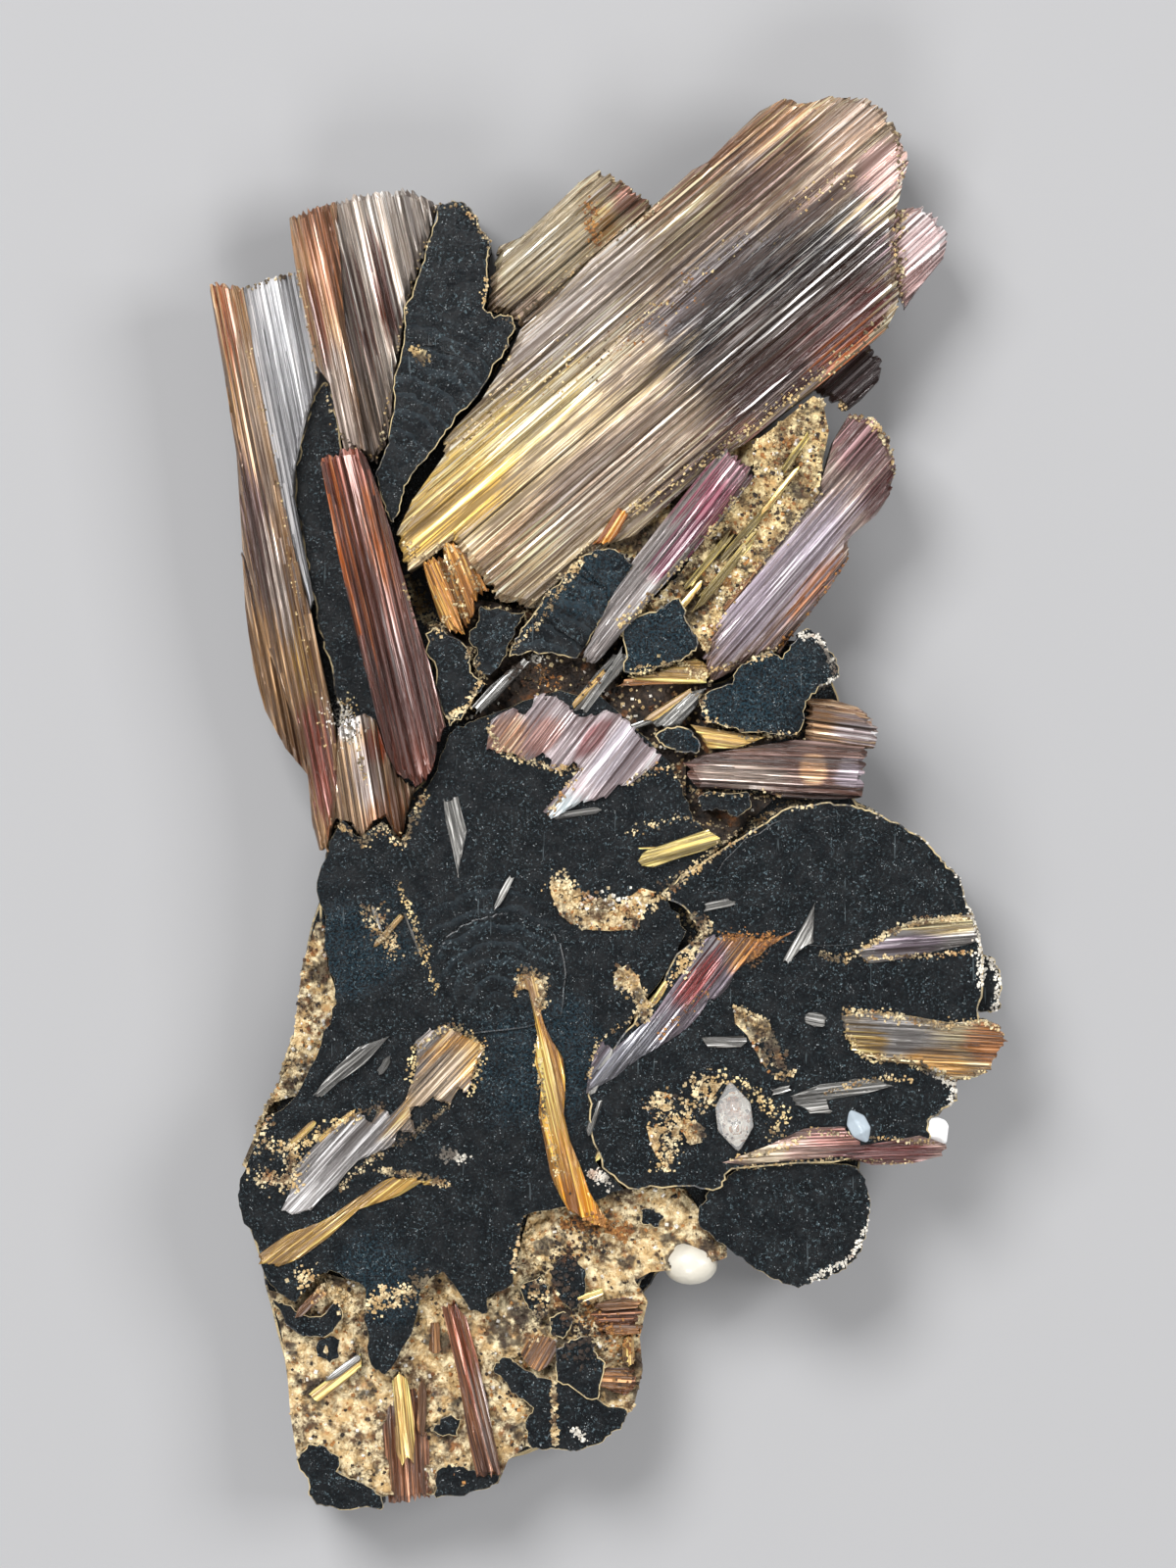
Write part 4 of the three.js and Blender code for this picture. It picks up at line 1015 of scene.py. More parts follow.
        # Each line's depth, which the rutile finish turns into painted shade in the grooves.
        depth = bm.verts.layers.float.new("groove")
        for vert in bm.verts:
            line = round((vert.co.y - low_y) / (high_y - low_y) * (len(lines) + 1))
            line = min(len(lines) + 1, max(0, line))
            vert[depth] = min(1.0, top_falls[line] / (1.4 * self.relief * MM))
            share = (vert.co.z / MM - self.low) / (self.high - self.low)
            spot = Vector((vert.co.x / MM * 0.8, vert.co.y / MM * 6, self.seed))
            wander = self.wander * self.relief * MM * noise.noise(spot)
            fall = min(top_falls[line] + wander, self.deepest * thickness)
            vert.co.z += back_falls[line] * self.back_relief * (1 - share) - max(0.0, fall) * share
        self.lay_axes(bm)
        bmesh.ops.transform(bm, matrix=turn.inverted(), verts=bm.verts)
        return bm


@dataclass(frozen=True)
class Chip:
    """A small crystal, by its middle pixel, its length and width in pixels, its axis and its top in mm."""

    x: float
    y: float
    length: float
    width: float
    axis: float
    finish: Rutile
    high: float = 3.12
    low: float = ON_CORE

    def crystal(self, seed: int) -> Crystal:
        """Makes the chip a crystal with a ragged outline.

        Args:
            seed: The seed of its random draws.

        Returns:
            The crystal.
        """
        draw = random.Random(seed)
        turn = math.radians(self.axis)
        ring = []
        for step in range(CHIP_CORNERS):
            angle = math.tau * step / CHIP_CORNERS
            along = 0.5 * self.length * math.copysign(abs(math.cos(angle)) ** 0.5, math.cos(angle))
            across = 0.5 * self.width * math.copysign(abs(math.sin(angle)) ** 0.6, math.sin(angle))
            along *= draw.uniform(0.72, 1.08)
            across *= draw.uniform(0.7, 1.1)
            ring += [
                self.x + along * math.cos(turn) - across * math.sin(turn),
                self.y - along * math.sin(turn) - across * math.cos(turn),
            ]
        return Crystal(
            self.finish, self.axis, self.high, seed, ring, self.low, relief=0.07, crown=0.06,
            chamfer=0.02, broken=0.05, segment=0.3,
        )


@dataclass(frozen=True)
class CrystalGroup:
    """Crystals that grew together, as one piece that stands for one solid."""

    name: str
    slot: str
    crystals: tuple[Crystal, ...]
    replaces: tuple[str, ...] = ()

    def build(self) -> bpy.types.Object:
        """Builds and dresses the piece.

        Returns:
            The object.
        """
        bm = bmesh.new()
        finishes = list(dict.fromkeys(crystal.finish for crystal in self.crystals))
        for crystal in self.crystals:
            append_mesh(bm, crystal.mesh(), finishes.index(crystal.finish))
        materials = [finish.value.material() for finish in finishes]
        return finish_piece(self.name, bm, materials, self.replaces)


@dataclass(frozen=True)
class Ledge:
    """A thin growth sheet on a plate, with its rise above the plate in mm."""

    outline: Outline
    rise: float


@dataclass(frozen=True)
class Plate:
    """A hematite plate, its bevelled top rim pale with clay and painted rim highlight, or a crust of clay.
    Sizes are in mm.
    """

    outline: Outline
    low: float
    high: float
    ledges: tuple[Ledge, ...] = ()
    rim: float = 0.06
    clay_and_highlight_rim: bool = True
    clayey: bool = False
    waver: float = 4.0
    layer: float = 0.16
    growth: float = 0.14
    wavers: tuple[float, float] = (0.35, 0.09)
    smoothing: float = 0.4

    def mesh(self) -> bmesh.types.BMesh:
        """Builds the plate with its ledges.

        Returns:
            Its mesh, with the pale rim of clay and painted highlight, or the crust of clay, in the second
            material.
        """
        bm = self.sheet(self.outline, self.high, self.rim, self.clay_and_highlight_rim)
        for ledge in self.ledges:
            inner = [value for p in points(ledge.outline) if is_inside(*p, self.outline) for value in p]
            if len(points(inner)) > 2:
                append_mesh(bm, self.sheet(inner, self.high + ledge.rise, 0.5 * ledge.rise, False))
        return bm

    def sheet(self, outline: Outline, high: float, rim: float, clay_and_highlight_rim: bool) -> bmesh.types.BMesh:
        """One sheet of the plate.

        Args:
            outline: Its outline.
            high: Its top, in mm.
            rim: Its bevel's width, in mm.
            clay_and_highlight_rim: Whether the rim is pale with clay and painted rim highlight.

        Returns:
            Its mesh.
        """
        bm = bmesh.new()
        corners = [bm.verts.new((*place(x, y), self.low * MM)) for x, y in points(outline)]
        for start, end in zip(corners, [*corners[1:], corners[0]]):
            bm.edges.new((start, end))
        bmesh.ops.subdivide_edges(bm, edges=bm.edges[:], cuts=EDGE_CUTS)
        bmesh.ops.smooth_vert(bm, verts=bm.verts, factor=self.smoothing, use_axis_x=True, use_axis_y=True)
        for vert in bm.verts:
            broad, fine = (noise.noise_vector(vert.co / (size * MM)) for size in self.wavers)
            offset = (broad + 0.8 * fine) * self.waver * PIXEL
            vert.co += Vector((offset.x, offset.y, 0))
        bmesh.ops.contextual_create(bm, geom=bm.edges[:])
        raise_face(bm, bm.faces[:][0], (high - self.low) * MM)
        flats = [part for part in bm.faces if abs(part.normal.z) > LEVEL]
        bevel(bm, {edge for part in flats for edge in part.edges}, rim * MM, 2)
        if high - self.low > 2 * self.layer:
            self.step_walls(bm, high)
        bm.normal_update()
        # The sloped faces of each top rim get the pale rim: painted rim highlight, with clay in places.
        for part in bm.faces:
            beside = part.calc_center_median().z > (high - 1.5 * rim) * MM
            sloped = 0.3 < part.normal.z < 0.96 and beside
            part.material_index = 1 if self.clayey or clay_and_highlight_rim and sloped else 0
        return bm

    def step_walls(self, bm: bmesh.types.BMesh, high: float) -> None:
        """Cuts the walls into thin growth layers, and draws each of them in by its own amount.

        Args:
            bm: The sheet.
            high: Its top, in mm.
        """
        slice_mesh(bm, Z_AXIS, steps(self.low * MM, high * MM, self.layer * MM))
        bm.normal_update()
        for vert in bm.verts:
            if abs(vert.normal.z) < STEEP:
                level = round(vert.co.z / (self.layer * MM))
                spot = Vector((0.8 * vert.co.x / MM, 0.8 * vert.co.y / MM, 7.3 * level))
                back = self.growth * MM * max(0.0, 0.45 + noise.noise(spot))
                vert.co -= back * Vector((vert.normal.x, vert.normal.y, 0)).normalized()


@dataclass(frozen=True)
class Rosette:
    """All of the hematite: its layers, its fins, its lobes and its toes."""

    plates: tuple[Plate, ...]

    def build(self) -> bpy.types.Object:
        """Builds and dresses the piece.

        Returns:
            The object.
        """
        bm = bmesh.new()
        for plate in self.plates:
            append_mesh(bm, plate.mesh())
        materials = [HematiteFinish().material(), ClayAndRimHighlightFinish().material()]
        return finish_piece("hematite_rosette_plates", bm, materials, ("hematite_rosette",))


@dataclass(frozen=True)
class Bed:
    """A bed of earth with a lumpy top, and grains strewn over it. Sizes are in mm."""

    name: str
    slot: str
    finish: Earth
    outline: Outline
    low: float
    high: float
    grains: int
    seed: int
    grain: float = 0.042
    swell: float = 0.3
    pitch: float = 0.11
    lumps: float = 1.5
    bumps: float = 7.0
    bump_share: float = 0.35
    mixture: tuple[Earth, ...] = (Earth.DARK, Earth.RUST, Earth.WHITE)
    shares: tuple[float, ...] = (0.56, 0.18, 0.17, 0.09)
    replaces: tuple[str, ...] = ()

    def top_at(self, x: float, y: float) -> float:
        """Works out the height of the bed's top.

        Args:
            x, y: A place, in metres.

        Returns:
            The height there, in metres.
        """
        spots = (Vector((x / MM * scale, y / MM * scale, self.seed)) for scale in (self.lumps, self.bumps))
        broad, fine = (noise.noise(spot) for spot in spots)
        return self.high * MM + self.swell * MM * (broad + self.bump_share * fine)

    def bed_mesh(self) -> bmesh.types.BMesh:
        """Builds the bed, cut into small squares and swollen.

        Returns:
            Its mesh.
        """
        bm = bmesh.new()
        raise_face(bm, outline_face(bm, self.outline, self.low), (self.high - self.low) * MM)
        for axis in (X_AXIS, Y_AXIS):
            reach = [vert.co.dot(axis) for vert in bm.verts]
            slice_mesh(bm, axis, steps(min(reach), max(reach), self.pitch * MM))
        slice_mesh(bm, Z_AXIS, steps(self.low * MM, self.high * MM, self.pitch * MM))
        bm.normal_update()
        for vert in bm.verts:
            if vert.co.z > (self.high - 0.1 * self.pitch) * MM:
                vert.co.z = self.top_at(vert.co.x, vert.co.y)
            elif vert.co.z < (self.low + 0.1 * self.pitch) * MM:
                vert.co.z -= 0.5 * self.swell * MM * abs(noise.noise(vert.co / (4 * self.pitch * MM)))
            elif abs(vert.normal.z) < STEEP:
                back = self.grain * MM * (1 + 2 * noise.noise(vert.co / (self.grain * 3 * MM)))
                vert.co -= max(0.0, back) * vert.normal
        return bm

    def build(self) -> bpy.types.Object:
        """Builds the bed with its grains, and dresses it.

        Returns:
            The object.
        """
        bm = self.bed_mesh()
        draw = random.Random(self.seed)
        xs, ys = self.outline[::2], self.outline[1::2]
        spots = []
        while len(spots) < BED_GRAINS * self.grains:
            px, py = draw.uniform(min(xs), max(xs)), draw.uniform(min(ys), max(ys))
            if is_inside(px, py, self.outline):
                x, y = place(px, py)
                size = self.grain * MM * draw.uniform(*BED_GRAIN_SIZES)
                kind = draw.choices(range(len(self.shares)), self.shares)[0]
                spots.append((Vector((x, y, self.top_at(x, y) + 0.2 * size)), size, kind))
        add_grains(bm, spots, draw)
        materials = [earth.value.material() for earth in (self.finish, *self.mixture)]
        return finish_piece(self.name, bm, materials, self.replaces)


@dataclass(frozen=True)
class Seam:
    """Grains along a line of pixels, with the band's half width in pixels and the grains' radius in mm."""

    earth: Earth
    grains: int
    points: Outline
    width: float = 4.0
    size: float = 0.04

    def spot(self, draw: random.Random) -> tuple[float, float]:
        """Draws a place for one grain.

        Args:
            draw: The random draws.

        Returns:
            Its pixel.
        """
        corners = points(self.points)
        lengths = [math.dist(a, b) for a, b in zip(corners, corners[1:])]
        index = draw.choices(range(len(lengths)), lengths)[0]
        (ax, ay), (bx, by) = corners[index:index + 2]
        share = draw.random()
        return (
            ax + (bx - ax) * share + draw.gauss(0, 0.5) * self.width,
            ay + (by - ay) * share + draw.gauss(0, 0.5) * self.width,
        )


@dataclass(frozen=True)
class Strewing:
    """Loose grains in seams and on rims, each on whatever surface of the specimen is under it."""

    name: str
    slot: str
    seams: tuple[Seam, ...]
    seed: int
    sunk: float = 0.3

    def build(self, pieces: Sequence[bpy.types.Object]) -> bpy.types.Object:
        """Builds and dresses the grains.

        Args:
            pieces: The pieces that they may lie on.

        Returns:
            The object.
        """
        draw = random.Random(self.seed)
        graph = bpy.context.evaluated_depsgraph_get()
        surfaces = [BVHTree.FromObject(piece, graph) for piece in pieces]
        earths = list(dict.fromkeys(seam.earth for seam in self.seams))
        spots = []
        for seam in self.seams:
            for _ in range(round(SEAM_GRAINS * seam.grains)):
                x, y = place(*seam.spot(draw))
                size = seam.size * MM * draw.uniform(*GRAIN_SIZES)
                above = Vector((x, y, 2 * CAD_BOX[1][2]))
                hits = [tree.ray_cast(above, DOWN)[0] for tree in surfaces]
                heights = [hit.z for hit in hits if hit is not None]
                if heights:
                    spot = Vector((x, y, max(heights) + (1 - 2 * self.sunk) * size * 0.5))
                    spots.append((spot, size, earths.index(seam.earth)))
        bm = bmesh.new()
        add_grains(bm, spots, draw)
        materials = [earth.value.material() for earth in earths]
        return finish_piece(self.name, bm, materials)


@dataclass(frozen=True)
class QuartzPiece:
    """A quartz crystal or pebble: its solid with rounded edges."""

    node: str
    slot: str
    finish: QuartzFinish
    rounding: float = 0.03
    smooth: bool = False

    def build(self) -> bpy.types.Object:
        """Builds and dresses the piece.

        Returns:
            The object.
        """
        bm = bmesh.new()
        bm.from_mesh(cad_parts[self.node].data)
        bmesh.ops.remove_doubles(bm, verts=bm.verts, dist=MERGE_DISTANCE)
        bmesh.ops.dissolve_limit(bm, angle_limit=FLAT_ANGLE, verts=bm.verts, edges=bm.edges)
        bevel(bm, bm.edges, self.rounding * MM, 2)
        for face in bm.faces:
            face.smooth = self.smooth
        return finish_piece(f"{self.node}_dressed", bm, [self.finish.material()], (self.node,))


def grown(node: str, slot: str, crystals: tuple[Crystal, ...]) -> CrystalGroup:
    """The crystals that stand for one solid.

    Args:
        node: The solid's name.
        slot: The name of its finish's slot, kept with the piece and not used.
        crystals: The crystals.

    Returns:
        Them as one piece.
    """
    return CrystalGroup(f"{node}_striated", slot, crystals, (node,))


def inlaid(
    finish: Rutile, axis: float, high: float, seed: int, outline: Outline, low: float = POCKET
) -> Crystal:
    """A low crystal with finer ridges, set into the hematite.

    Args:
        finish: Its finish.
        axis: Its axis, in degrees from +X.
        high, low: Its top and its underside, in mm.
        seed: The seed of its random draws.
        outline: Its outline.

    Returns:
        The crystal.
    """
    return Crystal(finish, axis, high, seed, outline, low=low, relief=0.07, crown=0.04, chamfer=0.06)


CRYSTAL_GROUPS = (
    grown("rutile_red_column", "rutile_red", (
        Crystal(Rutile.RED, 103, 3.86, 21, low=2.45, crown=0.5, relief=0.16, outline=(326, 470, 334, 464,
            355, 457, 367, 458, 374, 466, 388, 503, 401, 545, 413, 590, 427, 640, 439, 676, 449, 712,
            456, 742, 447, 762, 443, 782, 436, 796, 424, 803, 405, 790, 394, 768, 385, 735, 374, 690,
            362, 645, 352, 600, 343, 558, 341, 545, 333, 505)),
        Crystal(Rutile.ROOTS, 99, 2.9, 81, outline=(344, 742, 354, 731, 370, 726, 384, 735, 394, 768,
            405, 790, 424, 803, 416, 828, 410, 857, 402, 850, 393, 834, 380, 842, 370, 857, 358, 842,
            344, 838, 336, 850, 342, 800)),
    )),
    grown("rutile_pink_column", "rutile_dusk", (
        Crystal(Rutile.PINK, 51.5, 3.6, 22, low=2.3, crown=0.4, outline=(593, 671, 599, 678, 610, 676,
            632, 649, 662, 614, 690, 583, 722, 549, 748, 516, 768, 488, 766, 478, 752, 463, 742, 457,
            722, 475, 698, 505, 672, 538, 648, 569, 628, 602, 612, 634, 602, 655)),
    )),
    grown("rutile_stub_pair", "rutile_tan", (
        Crystal(Rutile.STUB, 114, 3.3, 24, low=2.1, outline=(430, 574, 438, 568, 452, 566, 463, 600,
            475, 648, 460, 646, 449, 634, 441, 610)),
        Crystal(Rutile.STUB, 112, 3.4, 25, low=2.1, outline=(451, 556, 460, 551, 476, 562, 487, 580,
            499, 604, 487, 612, 484, 628, 476, 643, 464, 618, 454, 588)),
    )),
    grown("rutile_cross_bundle", "rutile_silver", (
        inlaid(Rutile.CROSS, 52, 3.22, 31, outline=(501, 735, 511, 728, 524, 722, 537, 728, 543, 721,
            546, 708, 558, 707, 569, 708, 579, 719, 592, 729, 605, 728, 622, 723, 633, 728, 645, 738,
            656, 753, 669, 764, 675, 770, 671, 779, 656, 790, 643, 800, 628, 804, 618, 815, 598, 819,
            584, 824, 562, 836, 554, 828, 562, 819, 579, 800, 592, 785, 584, 779, 575, 787, 561, 788,
            560, 777, 552, 770, 537, 777, 524, 772, 509, 769, 496, 766, 498, 753)),
    )),
    grown("rutile_purple_bundle", "rutile_dusk", (
        inlaid(Rutile.PURPLE, 52, 3.3, 32, outline=(718, 959, 729, 953, 746, 953, 784, 956, 812, 949,
            784, 966, 773, 977, 761, 983, 750, 992, 743, 1007, 731, 1020, 720, 1024, 714, 1035, 705, 1045,
            697, 1052, 682, 1062, 667, 1071, 652, 1080, 641, 1088, 628, 1099, 613, 1107, 598, 1116,
            600, 1099, 605, 1080, 615, 1060, 626, 1071, 645, 1054, 667, 1035, 682, 1013, 697, 992,
            709, 977)),
    )),
    grown("rutile_inlay_northeast", "rutile_silver", (
        inlaid(Rutile.SILVER, 4, 3.3, 34, outline=(866, 972, 896, 960, 926, 940, 950, 934, 994, 933,
            998, 962, 960, 970, 920, 979, 886, 984)),
    )),
    grown("rutile_inlay_east", "rutile_golden", (
        inlaid(Rutile.EAST, -3, 3.32, 35, low=2.3, outline=(858, 1036, 878, 1031, 925, 1035, 972, 1043,
            1004, 1039, 1020, 1046, 1028, 1062, 1016, 1080, 1012, 1092, 994, 1100, 970, 1102, 940, 1088,
            900, 1083, 868, 1072, 860, 1054)),
    )),
    grown("rutile_inlay_southeast", "rutile_tan", (
        inlaid(Rutile.SOUTHEAST, 2, 3.28, 36, low=2.2, outline=(737, 1186, 784, 1168, 820, 1151,
            862, 1148, 882, 1168, 938, 1158, 968, 1168, 962, 1179, 932, 1187, 890, 1189, 860, 1180,
            810, 1184, 760, 1189)),
    )),
    grown("rutile_block_east", "rutile_dusk", (
        Crystal(Rutile.BLOCK, -3, 3.0, 44, low=1.4, outline=(696, 779, 716, 770, 760, 762, 820, 753,
            886, 760, 884, 786, 880, 815, 830, 817, 800, 815, 772, 806, 712, 806, 702, 792)),
        Crystal(Rutile.BLOCK_STUB, -8, 2.95, 45, low=1.6, outline=(822, 712, 850, 713, 876, 721, 890, 731,
            898, 744, 893, 764, 866, 764, 822, 762)),
    )),
    grown("rutile_west_bundle", "rutile_silver", (
        inlaid(Rutile.WEST, 47, 3.2, 38, outline=(285, 1237, 294, 1218, 296, 1196, 311, 1178, 325, 1163,
            338, 1152, 353, 1141, 366, 1134, 380, 1143, 388, 1126, 399, 1137, 413, 1121, 419, 1104,
            424, 1079, 421, 1064, 439, 1049, 459, 1044, 472, 1055, 490, 1060, 496, 1068, 490, 1079,
            483, 1101, 479, 1119, 468, 1112, 459, 1128, 441, 1121, 432, 1130, 421, 1132, 424, 1156,
            406, 1156, 402, 1170, 382, 1178, 366, 1185, 355, 1196, 344, 1211, 327, 1225, 318, 1236,
            302, 1240)),
    )),
    grown("rutile_southwest_bundle", "rutile_golden", (
        inlaid(Rutile.SOUTHWEST, 38, 3.16, 39, outline=(388, 1206, 404, 1200, 444, 1203, 462, 1211,
            426, 1209, 408, 1220, 366, 1234, 336, 1262, 306, 1284, 284, 1293, 264, 1290, 264, 1280,
            292, 1260, 340, 1240, 366, 1220)),
    )),
    grown("rutile_amber_fan", "rutile_amber", (
        inlaid(Rutile.AMBER, 103, 3.28, 41, outline=(526, 1009, 530, 992, 541, 990, 554, 998, 558, 1015,
            552, 1030, 556, 1045, 564, 1062, 575, 1080, 577, 1099, 577, 1113, 576, 1137, 582, 1163,
            593, 1190, 602, 1216, 611, 1231, 620, 1245, 617, 1254, 605, 1251, 593, 1245, 579, 1234,
            570, 1219, 561, 1198, 555, 1166, 549, 1137, 552, 1105, 545, 1084, 548, 1056, 543, 1030,
            539, 1013)),
    )),
    grown("rutile_south_column", "rutile_red", (
        Crystal(Rutile.SOUTH, 104, 3.0, 51, low=1.9, outline=(450, 1332, 462, 1327, 476, 1344, 488, 1385,
            498, 1435, 506, 1472, 512, 1506, 500, 1511, 484, 1509, 476, 1465, 466, 1405, 456, 1362)),
    )),
    grown("rutile_toe_column", "rutile_red", (
        Crystal(Rutile.SOUTH, 93, 2.8, 52, low=1.6, outline=(388, 1450, 402, 1428, 420, 1414, 432, 1430,
            438, 1480, 438, 1531, 418, 1535, 396, 1536, 392, 1496)),
    )),
    grown("rutile_bar_southeast", "rutile_red", (
        Crystal(Rutile.SOUTH, 2, 2.85, 53, low=1.8, outline=(606, 1330, 636, 1324, 657, 1330, 655, 1348,
            644, 1364, 612, 1364, 601, 1346)),
    )),
    grown("rutile_bar_south", "rutile_tan", (
        Crystal(Rutile.SOUTH, -2, 2.75, 54, low=1.8, outline=(582, 1402, 620, 1396, 651, 1398, 650, 1418,
            640, 1427, 606, 1418)),
    )),
    grown("rutile_main_blade", "rutile_golden", (
        Crystal(Rutile.MAIN, 40.5, 3.3, 71, crown=0.36, relief=0.12, outline=(403, 546, 420, 510,
            450, 468, 452, 448, 490, 408, 517, 366, 530, 336, 566, 303, 608, 258, 645, 228, 670, 205,
            706, 172, 722, 164, 745, 140, 775, 112, 800, 99, 830, 103, 846, 97, 884, 98, 904, 112,
            920, 138, 928, 164, 921, 194, 914, 218, 917, 268, 918, 312, 905, 336, 870, 366, 836, 394,
            802, 420, 770, 446, 735, 470, 690, 508, 650, 546, 622, 556, 602, 566, 576, 598, 548, 622,
            506, 613, 486, 584, 462, 552, 436, 572, 415, 586)),
        Crystal(Rutile.TOP, 41, 2.85, 72, outline=(496, 318, 500, 280, 508, 249, 530, 240, 560, 213,
            590, 184, 609, 171, 622, 174, 644, 190, 668, 206, 660, 240, 604, 290, 562, 320, 532, 340,
            520, 322)),
        Crystal(Rutile.TIP, 42, 2.7, 73, outline=(900, 212, 942, 208, 957, 216, 969, 238, 966, 260,
            944, 286, 924, 314, 900, 268)),
        Crystal(Rutile.STUB_DARK, 42, 2.4, 74, outline=(880, 340, 903, 366, 899, 386, 880, 406, 864, 419,
            830, 396, 850, 366)),
        Crystal(Rutile.NEEDLE, 57, 3.35, 23, low=2.3, outline=(604, 556, 617, 536, 631, 516, 643, 524,
            632, 544, 622, 556)),
    )),
    grown("rutile_right_blade", "rutile_silver", (
        Crystal(Rutile.RIGHT, 49, 3.0, 75, outline=(868, 420, 894, 427, 909, 446, 916, 474, 911, 502,
            896, 524, 870, 546, 868, 568, 846, 602, 828, 624, 806, 652, 796, 668, 770, 673, 740, 690,
            722, 698, 716, 672, 724, 652, 738, 616, 770, 580, 808, 534, 834, 503, 850, 450)),
    )),
    grown("rutile_left_fan", "rutile_silver", (
        Crystal(Rutile.LEFT_BACK, 103, 2.95, 76, outline=(330, 208, 355, 198, 380, 195, 410, 190,
            422, 193, 438, 202, 447, 206, 442, 226, 434, 256, 422, 294, 412, 320, 409, 350, 402, 386,
            400, 420, 394, 456, 384, 476, 366, 462, 352, 410, 340, 330)),
        Crystal(Rutile.LEFT_FRONT, 102, 3.15, 77, outline=(294, 222, 312, 212, 343, 204, 352, 330,
            366, 410, 374, 462, 352, 462, 342, 424, 336, 392, 322, 372, 312, 326, 300, 268)),
        Crystal(Rutile.GREY, 101, 2.75, 78, outline=(240, 295, 266, 284, 290, 277, 306, 275, 316, 304,
            328, 368, 324, 386, 310, 432, 301, 472, 299, 505, 308, 552, 320, 616, 316, 622, 296, 556,
            276, 488, 256, 384)),
        Crystal(Rutile.LONG, 101, 3.0, 79, outline=(212, 290, 220, 286, 249, 292, 264, 384, 284, 488,
            300, 556, 318, 630, 332, 696, 342, 742, 346, 780, 344, 820, 334, 870, 325, 868, 317, 838,
            312, 776, 292, 716, 272, 660, 256, 596, 246, 560, 243, 510, 240, 462, 228, 384)),
        Crystal(Rutile.LONG, 101, 2.4, 80, outline=(245, 562, 264, 596, 280, 660, 300, 716, 318, 776,
            320, 800, 290, 764, 268, 724, 256, 680, 248, 620)),
    )),
)

SLIVERS = CrystalGroup("rutile_slivers", "rutile_silver", crystals=(
    inlaid(Rutile.PALE, 60, 3.34, 33, low=ON_FACE, outline=(797, 980, 815, 948, 832, 920, 830, 964,
        814, 972, 804, 986)),
    inlaid(Rutile.PALE, 6, 3.3, 37, low=ON_FACE, outline=(806, 1118, 836, 1106, 872, 1100, 898, 1100,
        912, 1108, 880, 1117, 846, 1122, 850, 1136, 826, 1136, 810, 1128)),
    inlaid(Rutile.PALE, 40, 3.26, 40, low=ON_FACE, outline=(318, 1118, 344, 1088, 366, 1068, 398, 1057,
        372, 1086, 346, 1104, 328, 1120)),
    inlaid(Rutile.PALE, 103, 3.14, 42, low=ON_FACE, outline=(451, 816, 469, 812, 474, 834, 478, 848,
        472, 874, 468, 896, 460, 868, 453, 838)),
    inlaid(Rutile.GOLDEN, 2, 3.06, 43, low=ON_CORE, outline=(636, 850, 672, 843, 702, 836, 716, 846,
        700, 866, 676, 882, 656, 874, 644, 862)),
    inlaid(Rutile.GOLDEN, -2, 2.95, 46, low=ON_CORE, outline=(640, 690, 672, 684, 694, 675, 714, 670,
        726, 684, 722, 698, 690, 698, 650, 696)),
    inlaid(Rutile.GOLDEN, -8, 2.95, 47, low=ON_CORE, outline=(704, 739, 744, 746, 782, 752, 752, 764,
        722, 764, 714, 752)),
    inlaid(Rutile.PALE, 48, 3.12, 48, low=ON_CORE, outline=(480, 723, 500, 699, 524, 679, 531, 686,
        508, 712, 490, 728)),
    inlaid(Rutile.PALE, 55, 3.12, 49, low=ON_CORE, outline=(586, 724, 606, 700, 624, 679, 635, 659,
        639, 673, 618, 702, 598, 728)),
    inlaid(Rutile.PALE, 44, 2.98, 50, low=ON_CORE, outline=(664, 740, 684, 720, 704, 706, 720, 702,
        710, 722, 694, 740, 678, 744)),
))

